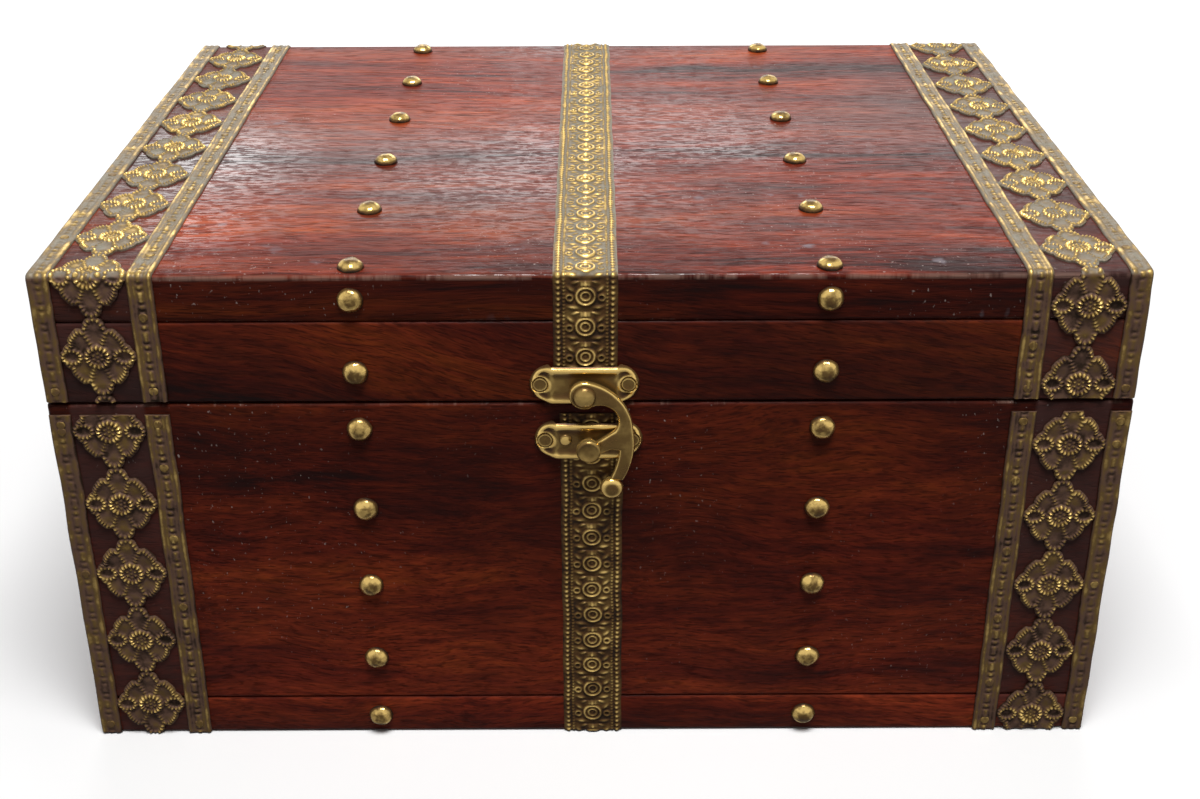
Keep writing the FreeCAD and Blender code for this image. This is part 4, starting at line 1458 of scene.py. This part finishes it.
class KEEPSAKE_OT_hinges(Operator):
    """Make the butt hinges with their pins and screws"""

    bl_idname = "keepsake.hinges"
    bl_label = "Hinges"

    def execute(self, context):
        brass = material_named(
            "hinge_brass_satin", aged_brass, scale=90.0, rough=0.3, metal=0.7, marked=False)
        inner = lid_knuckle + knuckle_gap
        leaves = {
            "base": ([(-hinge_half, -inner), (inner, hinge_half)], seam_z - (leaf_gap + leaf_thickness) * mm),
            "lid": ([(-lid_knuckle, lid_knuckle)], seam_z + leaf_gap * mm),
        }
        pin_profile = [(radius, -along) for radius, along in reversed(hinge_pin_half)] + hinge_pin_half
        places = []
        for side in ("left", "right"):
            for body, (spans, low_z) in leaves.items():
                node = side + "_hinge_" + body + "_leaf"
                finish_piece(hinge_leaf(node, spans, low_z), body, [node], brass)
            node = side + "_hinge_pin"
            low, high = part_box(node)
            x = (low.x + high.x) / 2
            pin = turned(node + "_turned", 24, pin_profile)
            pin.data.transform(on_hinge(x))
            finish_piece(pin, "base", [node], brass)
            places += [(x + end * screw_spread * mm, hinge_y - screw_setback * mm) for end in (-1, 1)]
        screw = slotted_screw()
        for body, up in (("base", -1), ("lid", 1)):
            node = "hinge_" + body + "_screws"
            turn = Matrix.Rotation(math.pi if up > 0 else 0, 4, "X")
            placings = [Matrix.Translation((*place, seam_z + up * leaf_gap * mm)) @ turn for place in places]
            heads = scattered(node + "_slotted", screw, placings, 0, 400)
            finish_piece(heads, body, [node], brass)
        bpy.data.objects.remove(screw)
        return {"FINISHED"}


# Floor, light and camera

def area_light(name, place, target, width, depth, power):
    bpy.ops.object.select_all(action="DESELECT")
    bpy.ops.object.light_add(type="AREA", location=place)
    light = bpy.context.object
    light.name = name
    light.data.shape = "RECTANGLE"
    light.data.size = width
    light.data.size_y = depth
    light.data.energy = power
    light.rotation_mode = "QUATERNION"
    light.rotation_quaternion = (Vector(target) - Vector(place)).to_track_quat("-Z", "Y")


def seen_rays(tree, mirrored=1.0):
    """One for rays that reach the eye straight, and the mirrored share for those seen in metal or glass."""
    ray = put(tree, "ShaderNodeLightPath").outputs
    reflected = larger(tree, ray["Is Glossy Ray"], ray["Is Transmission Ray"])
    return larger(tree, ray["Is Camera Ray"], times(tree, reflected, mirrored))


def pale_floor():
    """Pale to the eye and darker as a bounce; away from the box it glows a little and ends in white."""
    bpy.ops.object.select_all(action="DESELECT")
    bpy.ops.mesh.primitive_circle_add(vertices=96, radius=6, fill_type="NGON", location=(0, 0, -0.0002))
    floor = bpy.context.object
    floor.name = "floor"
    bpy.ops.object.transform_apply(location=True, rotation=True, scale=True)
    material, tree, shader, place = new_material("pale_floor")
    pale = ramp(tree, noise_of(tree, place, 3.0), [(0.3, (0.95, 0.95, 0.95)), (0.7, (0.99, 0.99, 0.99))])
    seen = seen_rays(tree, 0.45)
    away = put(tree, "ShaderNodeVectorMath", {0: place}, operation="LENGTH").outputs["Value"]
    glow = times(tree, seen, span(tree, away, 0.2, 0.75, 0.0, 0.7))
    feed(tree, shader, {
        "Base Color": mixed(tree, seen, (0.14, 0.14, 0.14), pale),
        "Emission Color": mixed(tree, glow, (0, 0, 0), (1, 1, 1)),
        "Emission Strength": 1.0,
        "Roughness": 1.0,
        "Specular IOR Level": 0.0,
    })
    floor.data.materials.append(material)


def white_world():
    """White to the camera and in reflections, softer as a light."""
    world = bpy.data.worlds.new("white_studio")
    bpy.context.scene.world = world
    world.use_nodes = True
    tree = world.node_tree
    shader = tree.nodes["Background"]
    strength = span(tree, seen_rays(tree), 0, 1, 0.1, 1.0)
    feed(tree, shader, {"Color": (1, 1, 1, 1), "Strength": strength})


def photo_camera():
    target = Vector((1.78, 0, 110.19)) * mm
    rise, side, roll = math.radians(24.54), math.radians(-0.15), math.radians(-0.15)
    back = Vector((math.sin(side) * math.cos(rise), -math.cos(side) * math.cos(rise), math.sin(rise)))
    bpy.ops.object.select_all(action="DESELECT")
    bpy.ops.object.camera_add(location=target + back * 524.5 * mm)
    camera = bpy.context.object
    camera.rotation_mode = "QUATERNION"
    turn = (-back).to_track_quat("-Z", "Y").to_matrix() @ Matrix.Rotation(roll, 3, "Z")
    camera.rotation_quaternion = turn.to_quaternion()
    camera.data.sensor_width = 36
    camera.data.lens = 46.50
    camera.data.shift_x = 0.0033
    camera.data.shift_y = -0.11625
    camera.data.clip_start = 0.01
    bpy.context.scene.camera = camera


class KEEPSAKE_OT_stage(Operator):
    """Set the floor, the light and the camera"""

    bl_idname = "keepsake.stage"
    bl_label = "Stage"

    def execute(self, context):
        pale_floor()
        white_world()
        area_light("overhead", (0.05, -0.42, 1.2), (0, 0, 0.1), 0.55, 0.4, 15)
        area_light("window_behind", (0, 1.3, 0.78), (0, 0, 0.15), 1.5, 0.5, 7)
        photo_camera()
        context.scene.view_settings.view_transform = "Standard"
        return {"FINISHED"}


# Panel and start

operators = [
    KEEPSAKE_OT_boards, KEEPSAKE_OT_end_bands, KEEPSAKE_OT_centre_bands, KEEPSAKE_OT_brads,
    KEEPSAKE_OT_dome_nails, KEEPSAKE_OT_clasp, KEEPSAKE_OT_hinges, KEEPSAKE_OT_stage,
]


class KEEPSAKE_PT_panel(Panel):
    """Lists the pieces of the keepsake box"""

    bl_idname = "KEEPSAKE_PT_panel"
    bl_label = "Keepsake Box"
    bl_space_type = "VIEW_3D"
    bl_region_type = "UI"
    bl_category = "Keepsake Box"

    def draw(self, context):
        for operator in operators:
            self.layout.operator(operator.bl_idname)


classes = [KeepsakeWood, KeepsakeBrass, KeepsakeSizes, *operators, KEEPSAKE_PT_panel]


def register():
    for kind in classes:
        bpy.utils.register_class(kind)
    bpy.types.Scene.keepsake_wood = PointerProperty(type=KeepsakeWood)
    bpy.types.Scene.keepsake_brass = PointerProperty(type=KeepsakeBrass)
    bpy.types.Scene.keepsake_sizes = PointerProperty(type=KeepsakeSizes)


def unregister():
    del bpy.types.Scene.keepsake_sizes
    del bpy.types.Scene.keepsake_brass
    del bpy.types.Scene.keepsake_wood
    for kind in reversed(classes):
        bpy.utils.unregister_class(kind)


def main():
    register()
    bpy.ops.keepsake.boards()
    bpy.ops.keepsake.end_bands()
    bpy.ops.keepsake.centre_bands()
    bpy.ops.keepsake.brads()
    bpy.ops.keepsake.dome_nails()
    bpy.ops.keepsake.clasp()
    bpy.ops.keepsake.hinges()
    bpy.ops.keepsake.stage()


if __name__ == "__main__":
    main()
